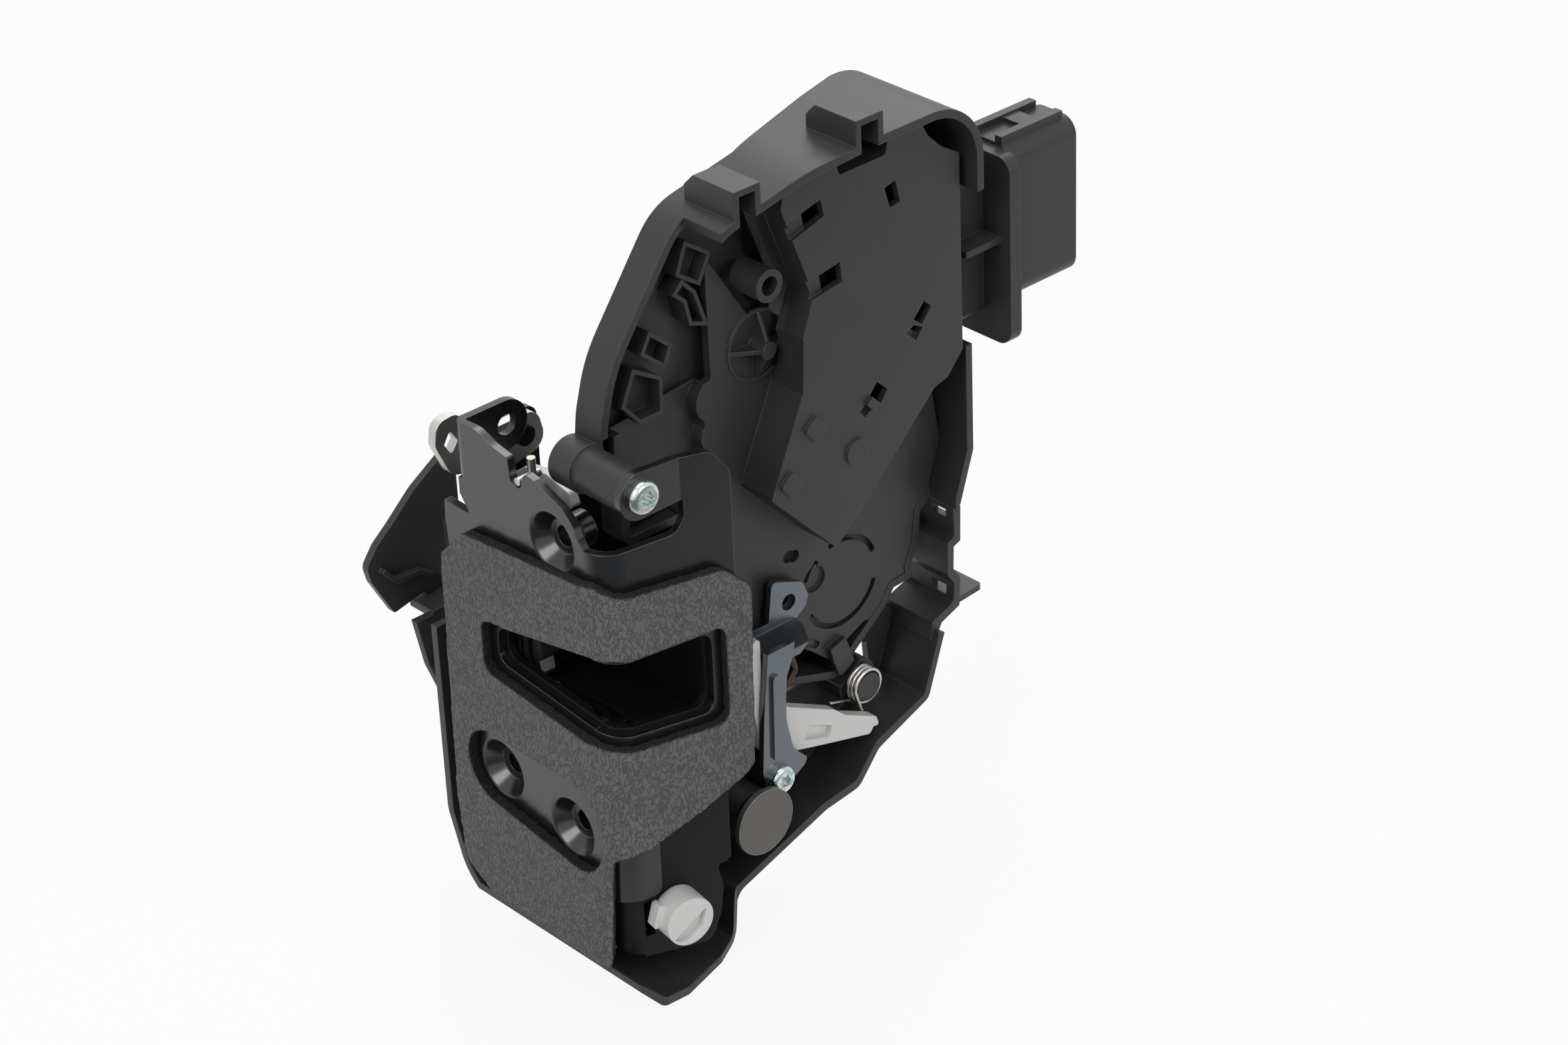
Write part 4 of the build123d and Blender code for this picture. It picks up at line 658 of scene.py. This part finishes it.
class LATCH_OT_cover(bpy.types.Operator):
    """Mould the drive's cover with its plateau, pits, ring and slots"""

    bl_idname = "latch.cover"
    bl_label = "Drive cover"

    def execute(self, context):
        sheet_out, sheet_in = SHEET_Y
        black = bpy.data.materials["plastic_black"]
        cover = Carving("drive_cover", prism(grown(SHEET, -SHEET_INSET), *SHEET_Y), black)
        for outline in (SHEET_LEFT, BELOW):
            cover.cut(prism(outline, sheet_out - 1, sheet_in + 1))
        cover.add(prism(TAB, sheet_out - 1.7, sheet_out - 0.3))
        cover.add(prism(TAB_ROOT, sheet_out - 1.6, sheet_out + 1))
        cover.add(prism(TOP, TOP_Y, sheet_out + 0.5))
        for near, far, low, high in FLARES:
            cover.add(prism(grown(FOOT, near), sheet_out - high, sheet_out - low + 0.05,
                            far=grown(FOOT, far)))
        cover.cut(prism(grown(TOP, -WALL), TOP_Y + WALL, 1.0))
        self.strip_and_pits(cover, black)
        self.fittings(cover)
        self.plateau(cover)
        thing = cover.bake()
        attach(thing, "frame")
        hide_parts("actuator_cover")
        return {"FINISHED"}

    def strip_and_pits(self, cover, black):
        """Sunk strip along the left rim with a scalloped edge, and the cups beside it."""
        top = SHEET_Y[0]
        body = prism(grown(STRIP, CUP_WALL), top + 0.5, STRIP_FLOOR_Y + CUP_WALL)
        tray = Carving("tray", body, black)
        tray.change("INTERSECT", [prism(grown(SHEET, -SHEET_INSET - 0.1), -10, 10)])
        sunk = Carving("sunk", prism(STRIP, top - 1, STRIP_FLOOR_Y), black)
        sunk.cut(*[prism(disc(*spot), top - 2, STRIP_FLOOR_Y + 2) for spot in SCALLOPS])
        for operation, tool in (("UNION", tray.bake()), ("DIFFERENCE", sunk.bake())):
            cover.use(operation, tool)
        for corners in PITS:
            cover.add(prism(grown(corners, CUP_WALL), CUP_Y, PIT_FLOOR_Y + CUP_WALL))
        for corners in PITS:
            cover.cut(prism(corners, CUP_Y - 1, PIT_FLOOR_Y))

    def fittings(self, cover):
        """Boss, round seat with its cross, slotted ring, dish and holes."""
        top, back = SHEET_Y
        cover.add(prism(disc(*BOSS, BOSS_R[0]), BOSS_Y, top + 1))
        cover.cut(prism(disc(*BOSS, BOSS_R[1]), BOSS_Y - 1, back - 0.6))
        cover.add(prism(disc(*CROSS, CROSS_R), top - 0.5, top + 0.5))
        cover.cut(prism(disc(*CROSS, CROSS_R - 0.8), top - 2, top + 0.3))
        cover.add(prism(disc(*CROSS, CROSS_HUB_R, 24), top - 4.5, top + 1))
        for turn in CROSS_TURNS:
            reach = CROSS_R - 0.6
            rib = prism([(1.0, -1.0), (reach, -1.0), (reach, 0.6), (1.0, 4.3)], -0.5, 0.5)
            move = Matrix.Translation(Vector((CROSS[0], top, CROSS[1])) * MM)
            lay = Matrix.Rotation(math.radians(90), 4, "X")
            rib.transform(move @ Matrix.Rotation(math.radians(-turn), 4, "Y") @ lay)
            cover.add(rib)
        for start, end in RING_SLOTS:
            cover.cut(prism(sector(*RING, RING_R, start, end), top - 1, back - 0.6))
        cover.cut(prism(disc(*DISH), top - 1, top + 0.9), prism(BAR, top - 1, top + 0.8))
        cover.cut(*[prism(disc(*hole, 24), top - 1, back - 0.4) for hole in HOLES])
        cover.add(prism(disc(*SEAT, SEAT_R[0]), top - 1.5, top + 1))
        cover.cut(prism(disc(*SEAT, SEAT_R[1], 24), top - 3, back + 1))

    def plateau(self, cover):
        """Slots and pads of the raised part."""
        for corners in SLOTS:
            cover.cut(prism(corners, TOP_Y - 1, TOP_Y + WALL + 1))
        for corners in STEPPED:
            cover.cut(prism(corners, TOP_Y - 1, TOP_Y + WALL - 0.8))
            first, second, third, fourth = [Vector(corner) for corner in corners]
            half = [(first + second) / 2, second, third, (third + fourth) / 2]
            cover.cut(prism([tuple(corner) for corner in half], TOP_Y - 1, TOP_Y + WALL + 1))
        cover.add(prism(disc(*ROUND_PAD), TOP_Y - 0.7, TOP_Y + 0.5))
        for x, z in PADS:
            pad = [(x + right, z + up, PAD_CORNER_R) for right, up in PAD_CORNERS]
            cover.add(prism(pad, TOP_Y - 0.9, TOP_Y + 0.5))


class LATCH_OT_mouth(bpy.types.Operator):
    """Clear the mouth and close the latch behind it"""

    bl_idname = "latch.mouth"
    bl_label = "Mouth"

    def execute(self, context):
        shaded_black = bpy.data.materials["plastic_shaded"]
        housing = Carving("latch_housing_clear", merged_copy("latch_housing"), shaded_black)
        housing.cut(prism(LEFTOVER, *LEFTOVER_Z, upright=True))
        thing = housing.bake()
        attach(thing, "frame")
        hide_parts("latch_housing")
        # The wall behind the mouth takes the same painted-shade black.
        wall = new_object("rear_wall", prism(REAR_WALL, *REAR_Z, upright=True), shaded_black, smooth=False)
        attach(wall, "frame")
        return {"FINISHED"}


class LATCH_OT_foam_pad(bpy.types.Operator):
    """Make the foam pad with its wrinkled skin and rough cut sides"""

    bl_idname = "latch.foam_pad"
    bl_label = "Foam pad"

    def execute(self, context):
        sizes = context.scene.latch_sizes
        material = foam_skin("foam_skin", context.scene.latch_colours.foam)
        pad = remeshed("foam_pad", merged_copy("foam_seal"), sizes.voxel, material)
        shape = bmesh.new()
        shape.from_mesh(pad.data)
        shape.normal_update()
        cut = shape.verts.layers.float.new("cut_side")
        turn = math.radians(FACE_TURN)
        side_b = Vector((math.sin(turn), math.cos(turn), 0.0))
        axis = Vector(BEND_AXIS) * MM
        for vert in shape.verts:
            place, normal = vert.co, vert.normal
            ring = Vector((place.x - axis.x, place.y - axis.y))
            if place.y > axis.y:
                face = abs(normal.x)
            elif place.x > axis.x:
                face = abs(normal.dot(side_b))
            else:
                face = abs(Vector((normal.x, normal.y)).dot(ring.normalized()))
            vert[cut] = 1.0 - min(1.0, max(0.0, (face - 0.35) / 0.4))
            ripple = noise.fractal(place * 420.0, 1.0, 2.0, 4)
            grain = noise.noise(place * 1500.0)
            depth = sizes.wrinkle * (ripple + 0.35 * grain)
            vert.co = place + normal * depth
        shape.to_mesh(pad.data)
        shape.free()
        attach(pad, "frame")
        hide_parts("foam_seal")
        return {"FINISHED"}


def wound(centre, axis, side, radius, turns, run, steps=24):
    """Points of a coil about an axis, from the side where it starts."""
    count = int(turns * steps)
    for index in range(count + 1):
        share = index / count
        spoke = Matrix.Rotation(2 * math.pi * turns * share, 3, axis) @ Vector(side)
        yield Vector(centre) + spoke * radius + Vector(axis) * (run * (share - 0.5))


def wire(name, points, radius, material):
    """Round wire along a smooth line."""
    curve = bpy.data.curves.new(name, "CURVE")
    curve.dimensions = "3D"
    curve.bevel_depth = radius
    curve.bevel_resolution = 4
    curve.resolution_u = 5
    curve.use_fill_caps = True
    spline = curve.splines.new("NURBS")
    points = list(points)
    spline.points.add(len(points) - 1)
    for point, place in zip(spline.points, points):
        point.co = (*place, 1.0)
    spline.use_endpoint_u = True
    spline.order_u = 3
    curve.materials.append(material)
    thing = bpy.data.objects.new(name, curve)
    bpy.context.scene.collection.objects.link(thing)
    return thing


class LATCH_OT_springs(bpy.types.Operator):
    """Wind the torsion spring of the white lever"""

    bl_idname = "latch.springs"
    bl_label = "Springs"

    def execute(self, context):
        sizes = context.scene.latch_sizes
        material = bare_metal("wire_spring_lever", context.scene.latch_colours.wire, 0.22, 2500.0, 0.01)
        turns = sizes.turns - 0.25
        coil = wound(Vector(COIL_CENTRE) * MM, (0.0, 1.0, 0.0), (-1.0, 0.0, 0.0), sizes.coil_r, turns,
                     turns * 2.3 * sizes.wire_r)
        points = [Vector(FRONT_LEG) * MM, *coil, Vector(BACK_LEG) * MM]
        spring = wire("lever_spring_wire", points, sizes.wire_r, material)
        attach(spring, "frame")
        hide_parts("lever_spring")
        return {"FINISHED"}


class LATCH_OT_studio(bpy.types.Operator):
    """Set the floor, the lamps and the camera"""

    bl_idname = "latch.studio"
    bl_label = "Studio"

    def execute(self, context):
        settings = context.scene.latch_studio
        self.floor()
        self.sky()
        lamps = (
            ("key", (-1.05, -0.35, 0.95), 0.9, 9.0),
            ("front", (0.25, -1.35, 0.75), 0.8, 5.5),
            ("top", (0.15, 0.25, 1.5), 1.1, 10.0),
            ("rim", (1.0, 0.7, 0.9), 0.7, 4.5),
        )
        aim = Vector((0.05, 0.0, -0.02))
        for name, place, size, power in lamps:
            light = bpy.data.lights.new(name, "AREA")
            light.shape = "DISK"
            light.size = size
            light.energy = power * settings.power
            lamp = bpy.data.objects.new(name, light)
            lamp.location = place
            lamp.rotation_euler = (aim - Vector(place)).to_track_quat("-Z", "Y").to_euler()
            context.scene.collection.objects.link(lamp)
        back = Vector((
            math.sin(settings.azimuth) * math.cos(settings.elevation),
            -math.cos(settings.azimuth) * math.cos(settings.elevation),
            math.sin(settings.elevation),
        ))
        camera = bpy.data.cameras.new("camera")
        camera.lens = settings.lens
        camera.sensor_width = 36.0
        camera.clip_start = 0.05
        viewer = bpy.data.objects.new("camera", camera)
        roll = Matrix.Rotation(settings.roll, 4, "Z")
        turn = back.to_track_quat("Z", "Y").to_matrix().to_4x4()
        viewer.matrix_world = Matrix.Translation(CAMERA_PLACE) @ turn @ roll
        context.scene.collection.objects.link(viewer)
        context.scene.camera = viewer
        context.scene.view_settings.view_transform = "Standard"
        return {"FINISHED"}

    def floor(self):
        """Pale floor that shows white to the camera and keeps a soft shadow, with a painted reflection:
        reflections see it dark grey in front of the object and white behind.
        """
        shape = bmesh.new()
        level = CAD_BOX[0][2] - 0.0004
        bmesh.ops.create_circle(shape, cap_ends=True, segments=96, radius=6.0,
                                matrix=Matrix.Translation((0.0, 0.0, level)))
        g = Graph("floor_white")
        diffuse = g.port("ShaderNodeBsdfDiffuse", 0, None, {"Color": (0.86, 0.86, 0.86, 1.0)})
        path = g.make("ShaderNodeLightPath")
        parts = g.make("ShaderNodeSeparateXYZ", None, {0: g.place})
        # Painted reflection: towards the camera the floor glows dark grey to reflections, behind the
        # object white.
        ahead = Port(g, parts.outputs[0]) * -0.61 - Port(g, parts.outputs[1]) * 0.79
        shown = g.mix(ahead.ramp(-0.06, 0.16), (1.0, 1.0, 1.0, 1.0), (0.13, 0.13, 0.13, 1.0))
        shown = g.mix(Port(g, path.outputs["Is Camera Ray"]), shown, (1.0, 1.0, 1.0, 1.0))
        glow = g.port("ShaderNodeEmission", 0, None, {"Color": shown, "Strength": 1.0})
        seen = Port(g, path.outputs["Is Camera Ray"]) + Port(g, path.outputs["Is Glossy Ray"])
        seen = g.maths("MINIMUM", seen + Port(g, path.outputs["Is Transmission Ray"]), 1.0) * 0.9
        both = g.port("ShaderNodeMixShader", 0, None, {0: seen, 1: diffuse, 2: glow})
        g.make("ShaderNodeOutputMaterial", None, {"Surface": both})
        new_object("floor", shape, g.material, smooth=False)

    def sky(self):
        """Dim light from all round, which reflections see as a white room."""
        world = bpy.data.worlds.new("studio")
        world.use_nodes = True
        tree = world.node_tree
        dim = tree.nodes["Background"]
        bright = tree.nodes.new("ShaderNodeBackground")
        for shader, strength in ((dim, 0.13), (bright, 0.85)):
            shader.inputs["Color"].default_value = (1.0, 1.0, 1.0, 1.0)
            shader.inputs["Strength"].default_value = strength
        path = tree.nodes.new("ShaderNodeLightPath")
        both = tree.nodes.new("ShaderNodeMixShader")
        tree.links.new(path.outputs["Is Glossy Ray"], both.inputs[0])
        tree.links.new(dim.outputs[0], both.inputs[1])
        tree.links.new(bright.outputs[0], both.inputs[2])
        tree.links.new(both.outputs[0], tree.nodes["World Output"].inputs["Surface"])
        bpy.context.scene.world = world


class LATCH_PT_panel(bpy.types.Panel):
    """Buttons for each group of pieces"""

    bl_idname = "LATCH_PT_panel"
    bl_label = "Door Latch Actuator"
    bl_space_type = "VIEW_3D"
    bl_region_type = "UI"
    bl_category = "Latch"

    def draw(self, context):
        for step in STEPS:
            self.layout.operator(step.bl_idname)
        for group in ("latch_sizes", "latch_colours", "latch_studio"):
            holder = getattr(context.scene, group)
            for key in holder.__annotations__:
                self.layout.prop(holder, key)


STEPS = (LATCH_OT_finishes, LATCH_OT_cover, LATCH_OT_mouth, LATCH_OT_foam_pad, LATCH_OT_springs,
         LATCH_OT_studio)
CLASSES = (LatchColours, LatchSizes, LatchStudio, *STEPS, LATCH_PT_panel)


def register():
    for item in CLASSES:
        bpy.utils.register_class(item)
    bpy.types.Scene.latch_colours = PointerProperty(type=LatchColours)
    bpy.types.Scene.latch_sizes = PointerProperty(type=LatchSizes)
    bpy.types.Scene.latch_studio = PointerProperty(type=LatchStudio)


def unregister():
    del bpy.types.Scene.latch_studio
    del bpy.types.Scene.latch_sizes
    del bpy.types.Scene.latch_colours
    for item in reversed(CLASSES):
        bpy.utils.unregister_class(item)


def main():
    register()
    bpy.ops.latch.finishes()
    bpy.ops.latch.cover()
    bpy.ops.latch.mouth()
    bpy.ops.latch.foam_pad()
    bpy.ops.latch.springs()
    bpy.ops.latch.studio()


if __name__ == "__main__":
    main()
